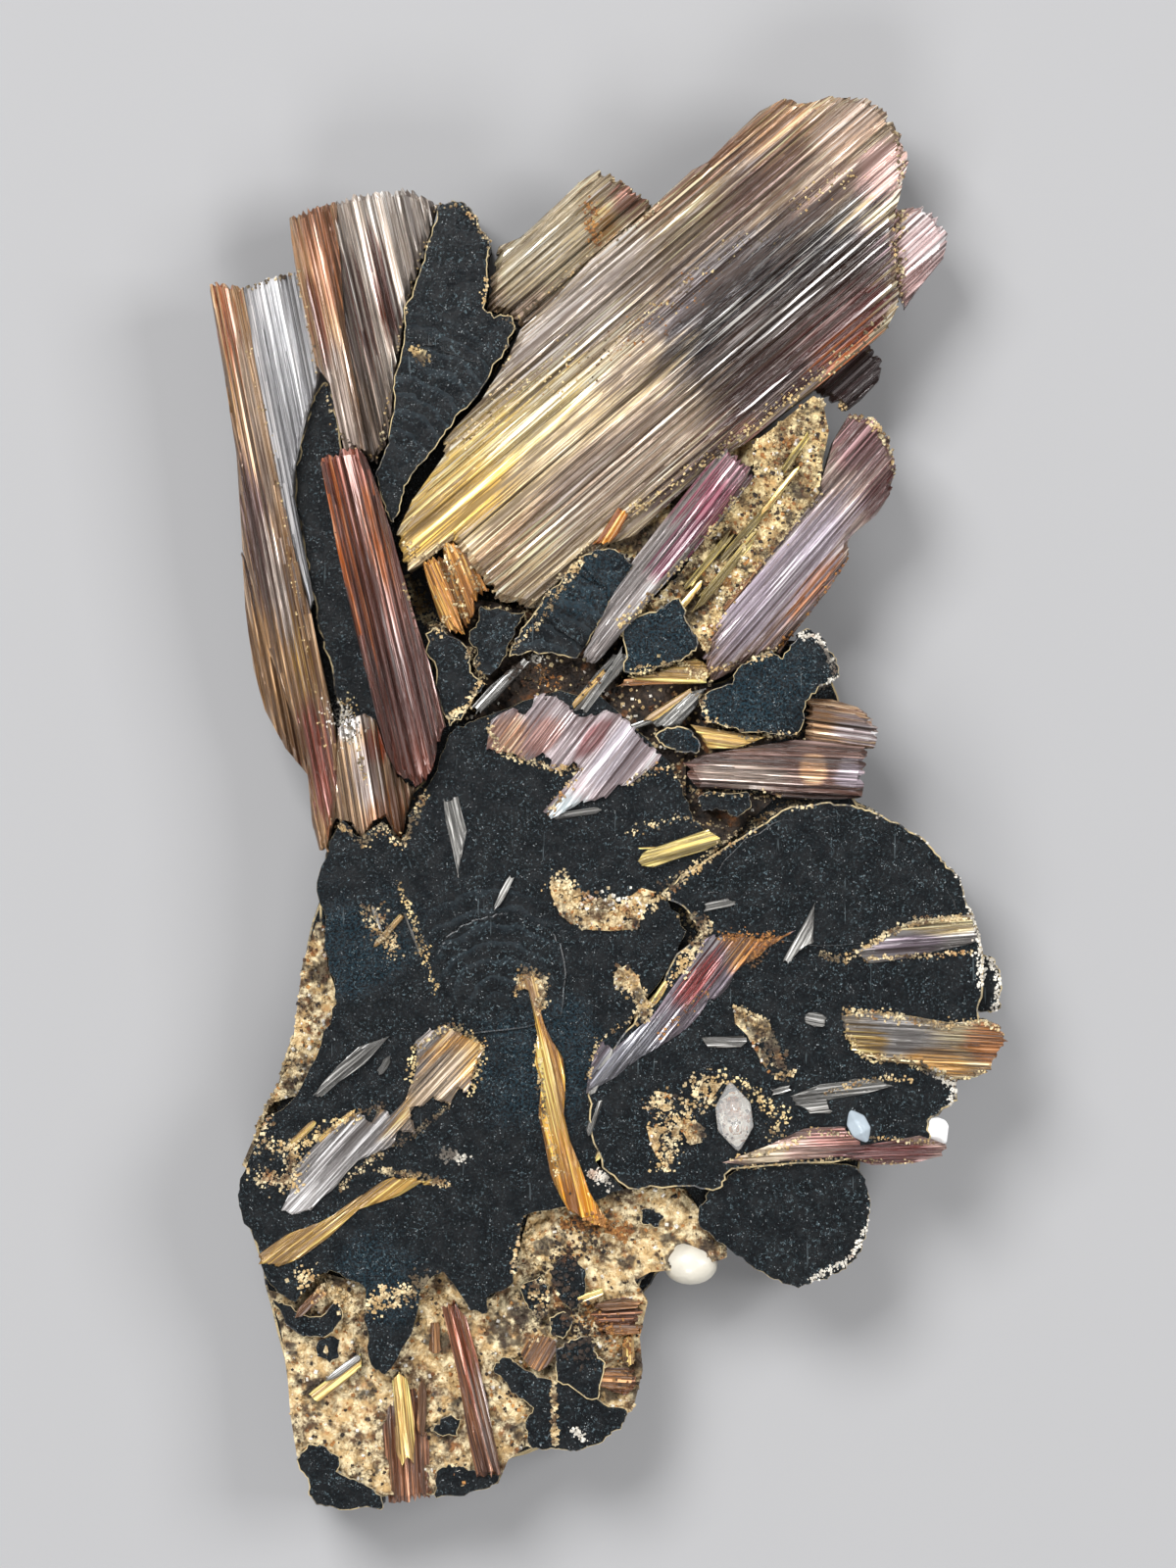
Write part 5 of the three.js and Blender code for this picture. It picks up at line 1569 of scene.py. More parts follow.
FRONT_PLATES = (
    # The fin between the two upper groups of blades
    Plate(low=BACK_LOW, high=3.05, ledges=(
        Ledge(rise=0.06, outline=(370, 360, *arc(440, 420, 72, 100, 30, 6), 520, 400, 520, 560,
            370, 560)),
    ), outline=(446, 208, 458, 205, 471, 207, 484, 218, 496, 234, 502, 250, 497, 274, 494, 316, 502, 320,
        522, 322, 525, 333, 519, 352, 504, 380, 484, 407, 463, 431, 449, 453, 428, 477, 414, 498,
        408, 520, 401, 536, 392, 516, 383, 482, 394, 462, 401, 420, 403, 384, 411, 350, 412, 320,
        422, 294, 434, 256, 442, 226)),
    # The fin behind the red column
    Plate(low=BACK_LOW, high=2.12, outline=(328, 387, 337, 394, 342, 424, 349, 462, 372, 520, 392, 600,
        400, 668, 420, 740, 440, 800, 400, 830, 350, 790, 344, 720, 338, 688, 324, 640, 314, 592,
        307, 548, 299, 505, 301, 472, 308, 438, 319, 404)),
    # The small plates above the rosette
    Plate(low=ON_CORE, high=3.0, outline=(434, 646, 446, 641, 463, 648, 480, 663, 478, 685, 497, 697,
        480, 720, 468, 733, 457, 742, 448, 712, 440, 676)),
    Plate(low=ON_CORE, high=3.04, outline=(490, 617, 500, 622, 536, 625, 526, 642, 516, 668, 500, 692,
        484, 682, 488, 665, 476, 650, 486, 640)),
    Plate(low=ON_CORE, high=3.1, ledges=(
        Ledge(rise=0.12, outline=(*arc(565, 652, 74, 100, -30, 9), 500, 690, 500, 600)),
        Ledge(rise=0.2, outline=(*arc(552, 668, 44, 110, -10, 7), 500, 690, 510, 650)),
    ), outline=(598, 563, 612, 558, 633, 562, 648, 575, 636, 597, 620, 620, 616, 634, 602, 654, 592, 671,
        562, 669, 540, 665, 518, 672, 524, 652, 540, 630, 560, 606, 580, 580)),
    Plate(low=ON_CORE, high=3.12, outline=(636, 646, 642, 632, 668, 621, 691, 608, 698, 618, 707, 644,
        714, 661, 700, 670, 672, 682, 648, 689, 636, 684)),
    Plate(low=ON_BACK, high=3.06, outline=(714, 733, 713, 716, 724, 704, 748, 697, 746, 685, 768, 673,
        788, 663, 800, 670, 812, 650, 822, 640, 842, 653, 853, 674, 858, 690, 836, 702, 823, 716,
        820, 742, 808, 751, 780, 750, 742, 743)),
    Plate(low=ON_CORE, high=2.96, outline=(670, 750, 678, 742, 694, 740, 708, 747, 717, 760, 710, 769,
        688, 768, 674, 759)),
    Plate(low=ON_CORE, high=2.9, outline=(712, 812, 726, 808, 762, 808, 768, 822, 752, 834, 734, 826,
        716, 828)),
    # The domed lobe, with the band below it and its ear
    Plate(low=ON_BACK, high=3.14, ledges=(
        Ledge(rise=0.05, outline=(720, 950, 734, 876, 800, 834, 880, 832, *arc(838, 982, 148, 62, 20, 5),
            860, 970)),
    ), outline=(672, 913, 702, 887, 732, 868, 766, 848, 800, 824, 838, 819, 878, 821,
        *arc(838, 982, 164, 68, 2, 8), 1002, 1002, 1001, 1040, 990, 1100, 978, 1106, 977, 1122, 964, 1134,
        946, 1142, 948, 1165, 920, 1178, 740, 1193, 736, 1215, 700, 1212, 640, 1214, 614, 1192, 601, 1150,
        601, 1108, 632, 1058, 662, 1018, 690, 974, 716, 952, 700, 930)),
    Plate(low=1.4, high=2.7, outline=(996, 974, 1013, 973, 1021, 988, 1024, 1008, 1021, 1030, 996, 1036)),
    # The lobe below it
    Plate(low=ON_BACK, high=2.9, outline=(745, 1196, 772, 1186, *arc(808, 1236, 80, 38, -64, 9),
        838, 1305, 814, 1313, 790, 1306, 760, 1287, 736, 1270, 714, 1250, 712, 1232, 728, 1210)),
    # The toes
    Plate(low=ON_BACK, high=2.85, outline=(566, 1410, 568, 1380, 577, 1367, 596, 1361, 608, 1370,
        612, 1383, 620, 1393, 610, 1432, 578, 1416)),
    Plate(low=ON_BACK, high=2.75, outline=(502, 1396, 512, 1387, 528, 1389, 548, 1403, 580, 1413,
        612, 1430, 641, 1443, 636, 1457, 620, 1468, 598, 1479, 580, 1483, 560, 1478, 540, 1478, 538, 1452,
        544, 1436, 526, 1424, 514, 1408)),
    Plate(low=ON_BACK, high=2.7, outline=(303, 1492, 312, 1474, 328, 1473, 346, 1490, 342, 1501,
        366, 1515, 390, 1524, 391, 1540, 350, 1542, 324, 1538, 312, 1527, 313, 1510)),
    Plate(low=ON_BACK, high=2.6, outline=(443, 1500, 460, 1496, 478, 1500, 500, 1504, 512, 1508,
        500, 1521, 470, 1527, 443, 1532)),
)

ROSETTE_LAYERS = (
    Plate(low=0.16, high=STAND_TOP, clay_and_highlight_rim=False, outline=(330, 480, 410, 400, 450, 260, 480, 300, 480, 420,
        560, 560, 680, 640, 800, 700, 850, 820, 940, 900, 960, 1060, 900, 1150, 840, 1240, 700, 1250,
        600, 1430, 420, 1500, 320, 1440, 290, 1230, 340, 960, 350, 800, 320, 600)),
    Plate(low=BACK_LOW, high=BACK_TOP, outline=(300, 470, 320, 392, 384, 370, 404, 330, 430, 240,
        452, 212, 480, 226, 494, 250, 490, 320, 512, 350, 500, 420, 560, 540, 640, 570, 720, 620,
        810, 650, 846, 664, 866, 740, 866, 806, 930, 856, *arc(838, 982, 148, 30, 0, 3), 992, 1060,
        950, 1150, 878, 1184, 870, 1256, 812, 1292, 742, 1266, 690, 1286, 648, 1336, 642, 1420, 592, 1470,
        502, 1504, 400, 1528, 328, 1524, 300, 1420, 280, 1312, 250, 1236, 288, 1112, 312, 960, 334, 872,
        330, 740, 306, 600)),
    Plate(low=ON_BACK, high=CORE_TOP, outline=(343, 842, 432, 802, 440, 660, 486, 608, 540, 620, 592, 566,
        640, 552, 696, 604, 722, 700, 800, 668, 846, 664, 826, 716, 868, 764, 868, 812, 930, 856,
        *arc(838, 982, 152, 30, 0, 3), 992, 1060, 950, 1150, 878, 1184, 872, 1256, 812, 1296, 742, 1270,
        664, 1294, 648, 1336, 644, 1430, 592, 1472, 514, 1492, 506, 1512, 400, 1530, 322, 1528, 298, 1440,
        272, 1312, 246, 1230, 280, 1118, 302, 1040, 326, 940, 328, 880)),
    Plate(low=ON_CORE, high=FACE, ledges=(
        Ledge(rise=0.08, outline=(*arc(512, 1010, 78, 150, 35, 8), 580, 1040, 470, 1060)),
    ), outline=(342, 850, 350, 839, 358, 846, 366, 858, 379, 845, 392, 838, 402, 854, 411, 860, 418, 832,
        428, 814, 446, 788, 458, 749, 470, 740, 492, 733, 560, 704, 622, 716, 684, 780, 698, 810,
        706, 836, 740, 862, 676, 912, 700, 950, 690, 975, 602, 1106, 602, 1150, 614, 1192, 640, 1214,
        600, 1228, 532, 1240, 528, 1290, 520, 1312, 500, 1322, 496, 1341, 478, 1334, 452, 1294, 430, 1312,
        422, 1356, 394, 1404, 378, 1394, 374, 1346, 370, 1312, 344, 1298, 326, 1298, 300, 1330, 274, 1312,
        258, 1262, 241, 1230, 246, 1204, 268, 1146, 302, 1120, 334, 1052, 344, 1016, 334, 988, 331, 936,
        322, 900)),
)

BEDS = (
    Bed(
        "ochre_crust_east_granular", "ochre", Earth.OCHRE, low=BLADE_LOW, high=2.78, grains=900, seed=61,
        replaces=("ochre_crust_east",),
        outline=(
            768, 452, 790, 436, 830, 404, 840, 410, 846, 440, 840, 470, 836, 503, 812, 534, 774, 580,
            741, 616, 722, 668, 704, 640, 664, 640, 640, 652, 630, 646, 660, 618, 692, 588, 712, 560,
            740, 528, 770, 486)),
    Bed(
        "clay_bed_south_granular", "clay", Earth.CREAM, low=1.5, high=2.45, grains=1100, seed=63,
        replaces=("clay_bed_south",),
        outline=(
            540, 1236, 600, 1226, 644, 1212, 700, 1214, 714, 1236, 742, 1274, 742, 1284, 706, 1296, 664,
            1299, 648, 1308, 661, 1330, 653, 1366, 656, 1400, 646, 1440, 600, 1474, 536, 1478, 518,
            1492, 508, 1516, 470, 1524, 436, 1528, 380, 1526, 330, 1504, 302, 1488, 296, 1450, 292,
            1400, 284, 1350, 272, 1318, 292, 1322, 330, 1300, 372, 1312, 376, 1380, 394, 1400, 420,
            1360, 430, 1306, 452, 1290, 486, 1334, 522, 1310)),
    Bed(
        "clay_rim_west_granular", "clay", Earth.CREAM, low=BLADE_LOW, high=2.5, grains=260, seed=64,
        replaces=("clay_rim_west",),
        outline=(
            322, 942, 330, 944, 334, 988, 344, 1016, 334, 1054, 318, 1088, 304, 1118, 276, 1126, 262,
            1154, 294, 1164, 316, 1186, 300, 1214, 272, 1206, 246, 1190, 262, 1152, 280, 1114, 296,
            1086, 301, 1040, 308, 984)),
)

CRUMBS = (
    Bed(
        "clay_under_quartz", "clay", Earth.WHITE, low=ON_FACE, high=3.2, grains=70, seed=96, swell=0.1,
        outline=(
            750, 1114, 760, 1120, 764, 1136, 762, 1156, 752, 1168, 742, 1158, 736, 1140, 738, 1124)),
    Bed("clay_crumbs_middle", "clay", Earth.CREAM, low=ON_FACE, high=3.05, grains=150, seed=91, outline=(
        562, 892, 576, 889, 582, 908, 600, 917, 640, 917, 655, 906, 668, 910, 656, 932, 650, 948,
        622, 950, 592, 948, 572, 934, 562, 912)),
    Bed("clay_crumbs_west", "clay", Earth.CREAM, low=ON_FACE, high=3.05, grains=50, seed=92, outline=(
        627, 992, 640, 984, 652, 998, 656, 1014, 668, 1030, 662, 1044, 648, 1042, 640, 1022, 626, 1006)),
    Bed("clay_crumbs_east", "clay", Earth.CREAM, low=ON_FACE, high=3.12, grains=80, seed=93, outline=(
        748, 1024, 762, 1036, 784, 1042, 790, 1058, 786, 1072, 806, 1088, 804, 1102, 792, 1104, 776, 1082,
        762, 1056, 750, 1044)),
    Bed("clay_crumbs_south", "clay", Earth.CREAM, low=ON_FACE, high=3.12, grains=150, seed=94, outline=(
        655, 1130, 668, 1112, 690, 1118, 708, 1096, 728, 1092, 738, 1104, 716, 1136, 722, 1164, 704, 1168,
        694, 1150, 688, 1180, 678, 1196, 664, 1168)),
    Bed(
        "ochre_under_main_blade", "ochre", Earth.OCHRE, low=ON_CORE, high=2.5, grains=160, seed=97,
        outline=(
            606, 562, 640, 530, 700, 486, 752, 456, 772, 446, 772, 470, 740, 500, 700, 520, 664, 560,
            640, 578)),
    Bed(
        "crumbs_between_plates", "clay", Earth.DARK, low=ON_CORE, high=2.45, grains=700, seed=95,
        mixture=(Earth.CREAM, Earth.OCHRE, Earth.WHITE), shares=(0.5, 0.3, 0.13, 0.07),
        outline=(
            436, 640, 486, 612, 540, 620, 590, 566, 640, 556, 694, 602, 716, 655, 728, 700, 716, 735,
            800, 752, 770, 764, 700, 778, 700, 810, 740, 806, 792, 814, 740, 862, 676, 906, 640, 880,
            640, 800, 684, 780, 620, 718, 560, 706, 500, 730, 462, 738)),
)

BACK_PLATES = (
    *(Plate(outline, low, STAND_TOP, clay_and_highlight_rim=False, waver=6) for low, outline in (
        (0, (400, 560, 480, 520, 590, 600, 700, 690, 830, 800, 890, 900, 880, 1040, 800, 1090, 740, 1180,
            640, 1150, 560, 1210, 500, 1320, 420, 1400, 340, 1340, 330, 1220, 380, 1100, 360, 980,
            390, 860, 430, 760, 380, 660)),
        (0.05, (340, 500, 440, 380, 476, 400, 480, 470, 560, 600, 460, 700, 400, 820, 350, 900, 352, 800,
            330, 640)),
        (0.04, (690, 980, 820, 940, 930, 900, 950, 1000, 930, 1100, 860, 1200, 780, 1246, 700, 1210,
            670, 1100)),
        (0.08, (300, 1260, 400, 1240, 520, 1260, 600, 1320, 580, 1420, 440, 1490, 340, 1440)),
        (0.1, (600, 660, 720, 680, 830, 720, 850, 800, 760, 860, 660, 800)),
    )),
    *(Plate(outline, low, STAND_TOP, clayey=True, waver=8) for low, outline in (
        (0.11, (560, 1200, 640, 1160, 700, 1200, 690, 1246, 600, 1290, 540, 1270)),
        (0.12, (350, 920, 390, 900, 400, 980, 376, 1080, 344, 1130, 334, 1020)),
        (0.11, (850, 860, 900, 850, 930, 900, 900, 940, 870, 930)),
    )),
)

BED_PLATES = (
    Plate(low=ON_BACK, high=2.72, rim=0.04, outline=(302, 1340, 325, 1345, 344, 1326, 350, 1350,
        330, 1366, 308, 1366, 290, 1350, 277, 1326, 290, 1330)),
    Plate(low=ON_BACK, high=2.62, rim=0.03, outline=(325, 1370, 336, 1364, 347, 1370, 345, 1386,
        334, 1392, 325, 1384)),
    Plate(low=ON_BACK, high=2.62, rim=0.03, outline=(437, 1462, 455, 1447, 468, 1450, 466, 1469,
        450, 1467)),
    Plate(low=ON_BACK, high=2.72, rim=0.04, outline=(533, 1310, 548, 1300, 561, 1312, 560, 1340,
        548, 1350, 536, 1335)),
    Plate(low=ON_BACK, high=2.7, rim=0.04, outline=(566, 1286, 582, 1280, 596, 1296, 598, 1322, 584, 1340,
        568, 1322)),
    Plate(low=ON_BACK, high=2.66, rim=0.03, outline=(560, 1345, 574, 1338, 584, 1352, 574, 1366,
        562, 1362)),
    Plate(low=ON_BACK, high=2.66, rim=0.03, outline=(652, 1236, 668, 1232, 680, 1242, 672, 1254,
        654, 1252)),
)

CHIPS = CrystalGroup("rutile_chips", "rutile_silver", crystals=tuple(
    chip.crystal(FIRST_CHIP_SEED + number) for number, chip in enumerate((
        Chip(318, 1328, 48, 13, 45, Rutile.BROWN, 3.02),
        Chip(341, 1411, 78, 18, 38, Rutile.GOLDEN, 2.72),
        Chip(352, 1396, 50, 9, 36, Rutile.PALE, 2.72),
        Chip(412, 1452, 96, 26, 96, Rutile.GOLDEN, 2.84),
        Chip(430, 1440, 60, 12, 88, Rutile.BROWN, 2.78),
        Chip(443, 1368, 36, 16, 92, Rutile.BROWN, 2.72),
        Chip(551, 1381, 38, 34, 60, Rutile.BROWN, 2.76),
        Chip(632, 1333, 52, 12, 3, Rutile.BROWN, 2.9),
        Chip(634, 1357, 46, 13, -2, Rutile.BROWN, 2.86),
        Chip(622, 1408, 58, 20, -3, Rutile.BROWN, 2.84),
        Chip(641, 1380, 30, 18, 92, Rutile.GOLDEN, 2.7),
        Chip(602, 1324, 30, 14, 20, Rutile.GOLDEN, 2.74),
        Chip(740, 1063, 50, 14, 0, Rutile.PALE, 3.28),
        Chip(832, 1040, 26, 16, -10, Rutile.PALE, 3.26),
        Chip(797, 1112, 22, 10, 15, Rutile.PALE, 3.26),
        Chip(733, 923, 34, 12, 12, Rutile.PALE, 3.28),
        Chip(613, 1094, 56, 12, 66, Rutile.PALE, 3.26),
        Chip(606, 1140, 46, 9, 72, Rutile.PALE, 3.22),
        Chip(618, 1168, 40, 10, 60, Rutile.GOLDEN, 3.2),
        Chip(672, 1015, 34, 10, 55, Rutile.GOLDEN, 3.24),
        Chip(514, 911, 40, 9, 62, Rutile.PALE, 3.14),
        Chip(398, 948, 50, 8, 48, Rutile.GOLDEN, 3.1),
        Chip(384, 936, 30, 6, 110, Rutile.PALE, 3.1),
        Chip(420, 952, 60, 5, 112, Rutile.PALE, 3.1),
        Chip(392, 1088, 24, 9, 60, Rutile.PALE, 3.12),
        Chip(308, 1158, 40, 11, 44, Rutile.GOLDEN, 3.12),
        Chip(588, 830, 58, 10, 8, Rutile.PALE, 3.16),
        Chip(345, 1150, 60, 12, 40, Rutile.GOLDEN, 3.1),
        Chip(700, 898, 60, 10, 38, Rutile.PALE, 3.2),
        Chip(694, 866, 92, 24, 16, Rutile.OLIVE, 3.24),
        # Between the small plates
        Chip(510, 700, 84, 12, 44, Rutile.PALE, 3.02),
        Chip(614, 694, 90, 20, 47, Rutile.PALE, 3.04),
        Chip(600, 704, 60, 8, 47, Rutile.GOLDEN, 3.06),
        Chip(684, 722, 62, 14, 34, Rutile.GOLDEN, 2.92),
        Chip(646, 742, 60, 8, 20, Rutile.PALE, 2.9),
        Chip(672, 694, 90, 12, 4, Rutile.BROWN, 2.86),
        # In the ochre crust
        Chip(742, 580, 110, 12, 51, Rutile.OLIVE, 2.98, 2.4),
        Chip(722, 574, 84, 9, 51, Rutile.OLIVE, 2.96, 2.4),
        Chip(760, 596, 70, 8, 51, Rutile.BROWN, 2.94, 2.4),
        Chip(764, 540, 90, 10, 49, Rutile.OLIVE, 2.96, 2.4),
        Chip(796, 500, 66, 9, 52, Rutile.GOLDEN, 2.96, 2.4),
        Chip(812, 462, 54, 10, 55, Rutile.OLIVE, 2.94, 2.4),
        Chip(700, 612, 56, 9, 50, Rutile.GOLDEN, 2.92, 2.4),
    ))
))

STREWING = Strewing("clay_grains_strewn", "clay", seed=700, seams=tuple(
    Seam(Earth[earth], grains, line, width, size) for earth, grains, width, size, line in (
        # In the grooves and cracks of the main blade
        ("OCHRE", 130, 14, 0.03, (555, 409, 660, 320, 760, 250, 875, 169)),
        ("OCHRE", 90, 16, 0.03, (467, 453, 582, 355)),
        ("RUST", 60, 20, 0.025, (600, 380, 720, 290)),
        ("CREAM", 110, 6, 0.04, (911, 124, 924, 190, 916, 250, 922, 310)),
        ("OCHRE", 160, 8, 0.035, (644, 524, 760, 440, 840, 380, 905, 320)),
        ("CREAM", 130, 7, 0.04, (405, 552, 431, 572, 460, 556, 500, 612, 540, 622, 610, 556)),
        # Round the crystal above it
        ("CREAM", 90, 4, 0.035, (668, 213, 612, 253, 564, 295, 529, 323, 510, 380)),
        ("RUST", 70, 9, 0.035, (600, 208, 610, 250)),
        ("CREAM", 40, 4, 0.035, (626, 177, 654, 196, 670, 208)),
        # Round the upper left crystals and the fins
        ("CREAM", 110, 4, 0.03, (303, 281, 322, 375, 345, 443, 384, 470, 402, 384, 415, 311, 446, 214)),
        ("CREAM", 60, 5, 0.035, (446, 208, 470, 207, 500, 246, 493, 312, 524, 330)),
        ("OCHRE", 60, 6, 0.035, (422, 356, 432, 368)),
        ("CREAM", 60, 6, 0.035, (252, 290, 270, 284, 300, 276)),
        ("OCHRE", 60, 5, 0.025, (250, 350, 277, 452, 290, 540, 332, 765)),
        # Roots of the left crystals
        ("WHITE", 150, 14, 0.028, (340, 722, 362, 750)),
        ("CREAM", 160, 6, 0.035, (340, 838, 360, 850, 372, 860, 390, 842, 410, 862, 434, 806)),
        ("OCHRE", 60, 7, 0.03, (352, 710, 372, 800)),
        # Round the stubs and the small plates
        ("CREAM", 170, 10, 0.04, (418, 590, 432, 630, 452, 642)),
        ("OCHRE", 60, 7, 0.035, (452, 560, 474, 630)),
        ("CREAM", 120, 5, 0.035, (478, 662, 492, 692, 478, 722, 455, 734)),
        ("CREAM", 90, 5, 0.03, (520, 664, 545, 640, 566, 612, 600, 562)),
        ("RUST", 80, 9, 0.035, (535, 684, 570, 692)),
        ("WHITE", 34, 5, 0.035, (540, 670, 552, 672)),
        ("DARK", 220, 15, 0.045, (520, 680, 560, 694, 600, 690)),
        ("OCHRE", 90, 7, 0.035, (640, 690, 690, 676, 722, 692)),
        ("CREAM", 100, 5, 0.035, (712, 702, 722, 736, 760, 750, 818, 750)),
        ("WHITE", 130, 4, 0.03, (812, 648, 834, 648, 850, 678, 852, 692, 838, 704)),
        # Round the pink column, the ochre crust and the right blade
        ("CREAM", 160, 6, 0.045, (832, 406, 868, 420, 894, 430, 914, 462, 916, 496)),
        ("OCHRE", 160, 6, 0.04, (762, 496, 722, 550, 676, 602, 630, 640)),
        ("OCHRE", 130, 6, 0.04, (834, 460, 834, 503, 791, 554, 738, 616, 720, 660)),
        ("RUST", 90, 5, 0.035, (880, 540, 868, 572, 830, 623, 798, 660)),
        ("CREAM", 60, 5, 0.035, (724, 684, 758, 676, 790, 664)),
        # Round the cross bundle and the block
        ("CREAM", 120, 5, 0.035, (498, 740, 512, 768, 560, 784, 592, 786, 560, 830)),
        ("CREAM", 90, 5, 0.035, (640, 800, 664, 786, 688, 784, 702, 808, 740, 808, 800, 814)),
        ("CREAM", 220, 5, 0.035, (665, 922, 697, 898, 729, 870, 763, 847, 797, 823, 830, 820)),
        ("CREAM", 80, 5, 0.03, (640, 850, 690, 834, 748, 846, 700, 890, 670, 902)),
        # On the rims of the right lobes
        ("WHITE", 420, 5, 0.03, (888, 823, 936, 845, 972, 877, 988, 912, 999, 950, 1002, 1005)),
        ("WHITE", 90, 4, 0.03, (1008, 975, 1021, 1000, 1015, 1036)),
        ("WHITE", 120, 5, 0.03, (947, 1092, 976, 1108, 970, 1128)),
        ("WHITE", 170, 4, 0.03, (887, 1190, 894, 1214, 886, 1252, 866, 1286, 826, 1306)),
        # Along the inlays
        ("CREAM", 170, 4, 0.035, (836, 972, 862, 980, 890, 962, 908, 950, 945, 938, 988, 936)),
        ("CREAM", 90, 3, 0.03, (880, 978, 938, 975, 992, 972)),
        ("CREAM", 150, 5, 0.035, (861, 1032, 904, 1036, 956, 1046, 1006, 1042, 1026, 1054)),
        ("OCHRE", 150, 5, 0.035, (861, 1050, 879, 1078, 924, 1082, 976, 1103, 1012, 1092)),
        ("CREAM", 60, 4, 0.03, (840, 1114, 900, 1100, 930, 1102)),
        ("CREAM", 120, 4, 0.03, (740, 1186, 807, 1168, 830, 1152, 863, 1158, 950, 1166)),
        ("CREAM", 80, 3, 0.028, (750, 1192, 850, 1182, 940, 1188)),
        # Round the purple bundle
        ("RUST", 110, 7, 0.03, (735, 956, 790, 956, 765, 984)),
        ("CREAM", 150, 8, 0.04, (697, 934, 722, 944, 704, 974, 694, 992)),
        ("CREAM", 90, 4, 0.028, (600, 1098, 612, 1060, 660, 1030, 700, 980)),
        ("RUST", 40, 5, 0.025, (670, 1060, 720, 1010)),
        # Pockets of the rosette
        ("CREAM", 150, 9, 0.03, (372, 925, 384, 950, 402, 972, 388, 930)),
        ("OCHRE", 90, 5, 0.028, (407, 902, 428, 954, 434, 981, 447, 1015)),
        ("CREAM", 200, 12, 0.045, (566, 894, 590, 920, 640, 930, 664, 916)),
        ("WHITE", 30, 10, 0.045, (600, 922, 655, 918)),
        ("CREAM", 130, 8, 0.045, (630, 992, 650, 1012, 660, 1040)),
        ("CREAM", 200, 8, 0.045, (752, 1030, 780, 1046, 788, 1068, 802, 1098)),
        ("CREAM", 260, 14, 0.04, (664, 1120, 690, 1150, 676, 1190, 716, 1100, 730, 1130)),
        ("OCHRE", 100, 9, 0.035, (730, 1096, 756, 1106, 800, 1140, 786, 1164)),
        ("WHITE", 60, 7, 0.035, (604, 1196, 620, 1206)),
        ("CREAM", 130, 6, 0.035, (526, 1009, 536, 990, 556, 1000, 552, 1030)),
        ("OCHRE", 110, 5, 0.03, (548, 1060, 556, 1140, 570, 1200)),
        # Round the west crystals and down the left flank
        ("OCHRE", 150, 5, 0.032, (419, 1104, 424, 1070, 460, 1044, 494, 1066, 480, 1118)),
        ("CREAM", 110, 4, 0.03, (460, 1126, 424, 1156, 382, 1180, 344, 1214)),
        ("CREAM", 200, 10, 0.04, (268, 1165, 300, 1176, 298, 1208, 262, 1200)),
        ("OCHRE", 110, 6, 0.032, (300, 1172, 344, 1146, 390, 1128)),
        ("CREAM", 110, 4, 0.03, (384, 1194, 428, 1199, 458, 1210)),
        ("WHITE", 60, 7, 0.035, (452, 1178, 472, 1182)),
        ("CREAM", 260, 8, 0.045, (300, 1000, 292, 1090, 264, 1156)),
        # Over the southern bed and its dark plates
        ("CREAM", 300, 14, 0.045, (304, 1300, 338, 1320, 370, 1334, 440, 1310)),
        ("RUST", 160, 10, 0.045, (576, 1250, 622, 1250, 640, 1262)),
        ("CREAM", 200, 12, 0.045, (540, 1250, 530, 1290, 560, 1330, 540, 1360)),
        ("RUST", 130, 14, 0.04, (590, 1340, 640, 1370, 636, 1410)),
        ("CREAM", 120, 3, 0.04, (565, 1400, 566, 1476)),
        ("WHITE", 30, 5, 0.035, (584, 1460, 596, 1470)),
        ("DARK", 200, 20, 0.05, (600, 1260, 560, 1300, 600, 1390)),
    )
))

CLEAR = QuartzFinish("quartz_clear_glassy", (0.99, 0.98, 0.96), 0.8, 0.04)
BLUE_GREY = QuartzFinish("quartz_blue_grey", (0.36, 0.42, 0.47), 0.2, 0.25)
WHITE = QuartzFinish("quartz_white", (0.95, 0.95, 0.95), 0.2, 0.08)
MILKY = QuartzFinish("quartz_milky_veiled", (0.5, 0.47, 0.4), 0.1, 0.4)
QUARTZ = (
    QuartzPiece("quartz_point", "quartz_clear", CLEAR),
    QuartzPiece("quartz_chip", "quartz_milky", BLUE_GREY),
    QuartzPiece("quartz_glint", "quartz_milky", WHITE),
    QuartzPiece("quartz_pebble", "quartz_milky", MILKY, rounding=0.1, smooth=True),
)

ROSETTE = Rosette((*BACK_PLATES, *ROSETTE_LAYERS, *FRONT_PLATES, *BED_PLATES))


@dataclass(frozen=True)
class Lamp:
    """A soft square lamp that faces the specimen, at an azimuth and an elevation in degrees."""

    name: str
    azimuth: float
    elevation: float
    power: float
    size: float = 0.16
    distance: float = 0.3

    def build(self) -> None:
        """Adds the lamp."""
        light = bpy.data.lights.new(self.name, "AREA")
        light.energy = self.power
        light.size = self.size
        lamp = bpy.data.objects.new(self.name, light)
        flat = math.cos(math.radians(self.elevation))
        turn = math.radians(self.azimuth)
        lamp.location = self.distance * Vector(
            (flat * math.cos(turn), flat * math.sin(turn), math.sin(math.radians(self.elevation)))
        )
        lamp.rotation_euler = lamp.location.to_track_quat("Z", "Y").to_euler()
        bpy.context.scene.collection.objects.link(lamp)


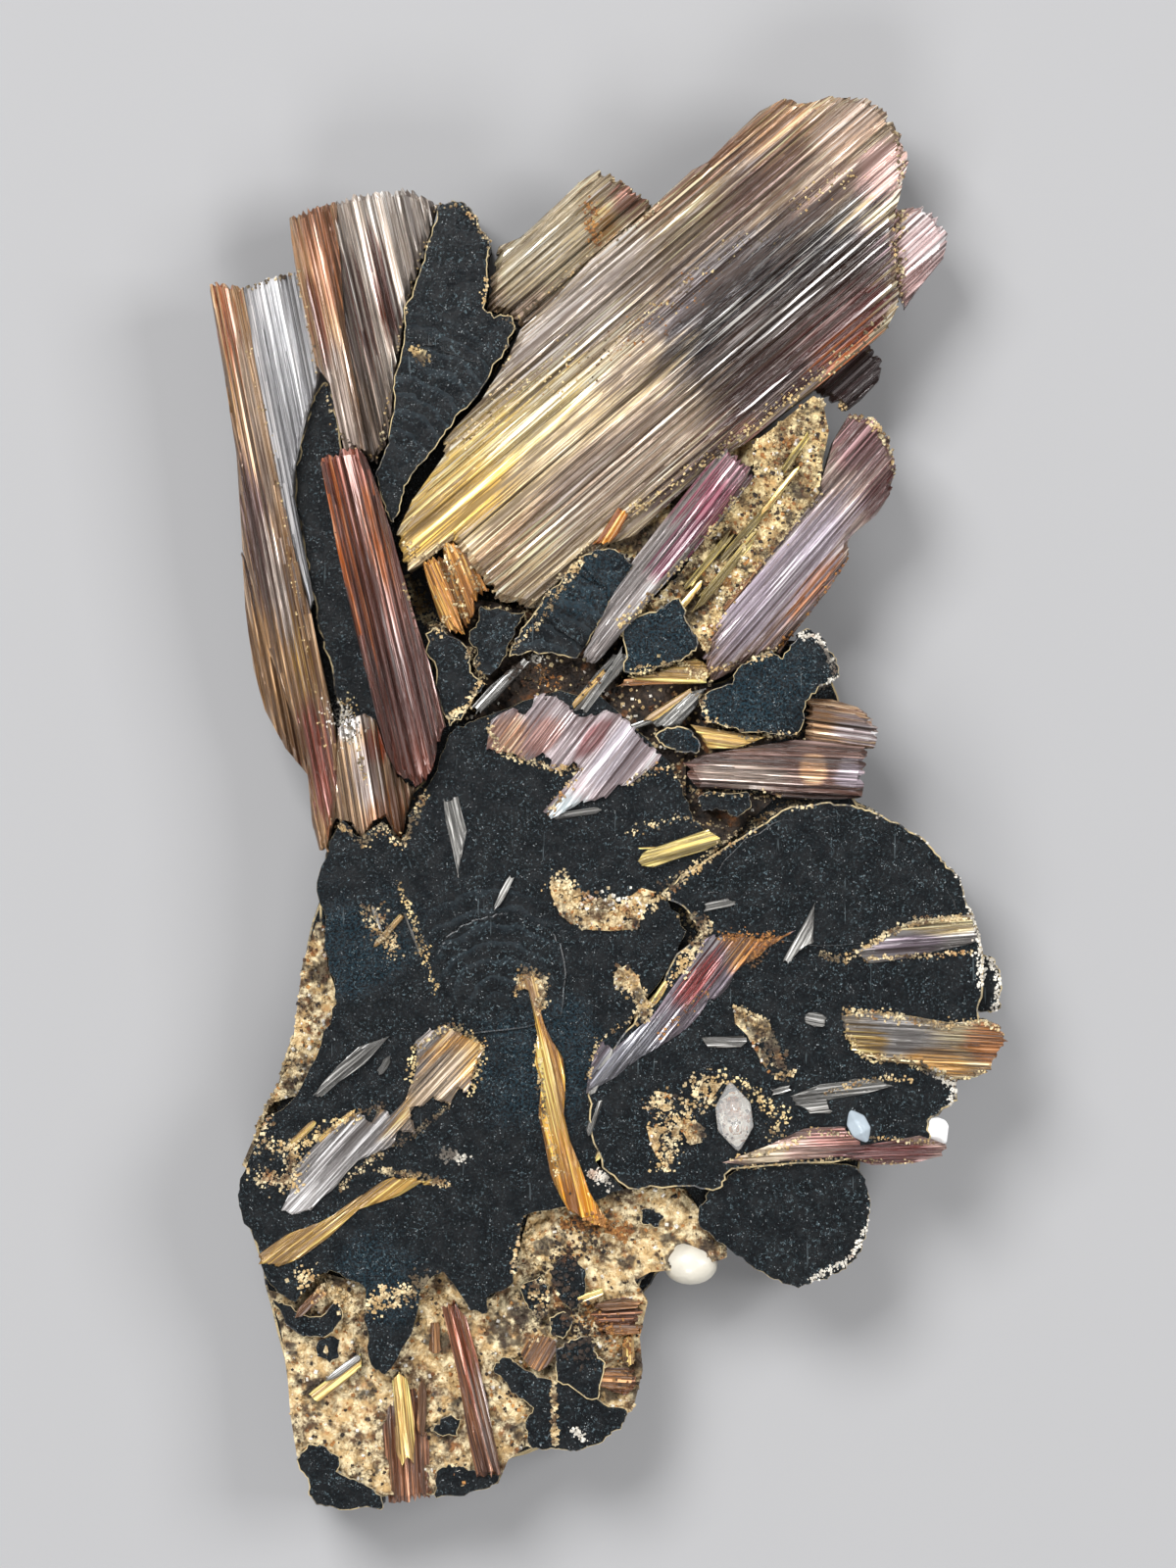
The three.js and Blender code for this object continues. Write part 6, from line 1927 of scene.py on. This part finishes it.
@dataclass(frozen=True)
class Studio:
    """The floor, the soft lamps and the camera. Sizes are in metres."""

    floor_size: float = 1.2
    floor_colour: Colour = (0.235, 0.235, 0.24)
    sky: float = 0.34
    height: float = 0.2
    sensor: float = 36
    view_length: float = 1600 * PIXEL
    middle_pixel: tuple[float, float] = (600, 800)
    lamps: tuple[Lamp, ...] = (
        Lamp("key_lamp", 125, 56, 1.3, 0.13),
        Lamp("right_lamp", 10, 50, 0.7, 0.13),
        Lamp("low_lamp", 260, 50, 0.55, 0.13),
    )

    def build(self) -> None:
        """Builds the studio."""
        bm = bmesh.new()
        bmesh.ops.create_grid(bm, x_segments=1, y_segments=1, size=self.floor_size / 2)
        mesh = bpy.data.meshes.new("floor")
        bm.to_mesh(mesh)
        bm.free()
        _, shader = new_material("floor_pale", 0.8)
        shader.inputs["Base Color"].default_value = (*self.floor_colour, 1)
        mesh.materials.append(bpy.data.materials["floor_pale"])
        floor = bpy.data.objects.new("floor", mesh)
        bpy.context.scene.collection.objects.link(floor)
        for lamp in self.lamps:
            lamp.build()
        world = bpy.data.worlds.new("studio")
        world.use_nodes = True
        world.node_tree.nodes["Background"].inputs["Color"].default_value = (1, 1, 1, 1)
        world.node_tree.nodes["Background"].inputs["Strength"].default_value = self.sky
        bpy.context.scene.world = world
        bpy.context.scene.view_settings.view_transform = "Standard"
        self.place_camera()

    def place_camera(self) -> None:
        """Puts the camera over the front face, so that the photograph's frame fills the picture."""
        camera = bpy.data.cameras.new("camera")
        camera.sensor_width = self.sensor
        camera.lens = self.sensor * (self.height - FACE * MM) / self.view_length
        camera.clip_start = 0.01
        holder = bpy.data.objects.new("camera", camera)
        holder.location = (*place(*self.middle_pixel), self.height)
        bpy.context.scene.collection.objects.link(holder)
        bpy.context.scene.camera = holder


def main() -> None:
    """Builds the specimen and its studio."""
    noise.seed_set(NOISE_SEED)
    Studio().build()
    build_shared_groups()
    pieces = [ROSETTE.build()]
    pieces.extend(group.build() for group in (*CRYSTAL_GROUPS, SLIVERS, CHIPS))
    pieces.extend(bed.build() for bed in (*BEDS, *CRUMBS))
    STREWING.build(pieces)
    for crystal in QUARTZ:
        crystal.build()


if __name__ == "__main__":
    logging.basicConfig(level=logging.INFO, format="%(message)s")
    main()
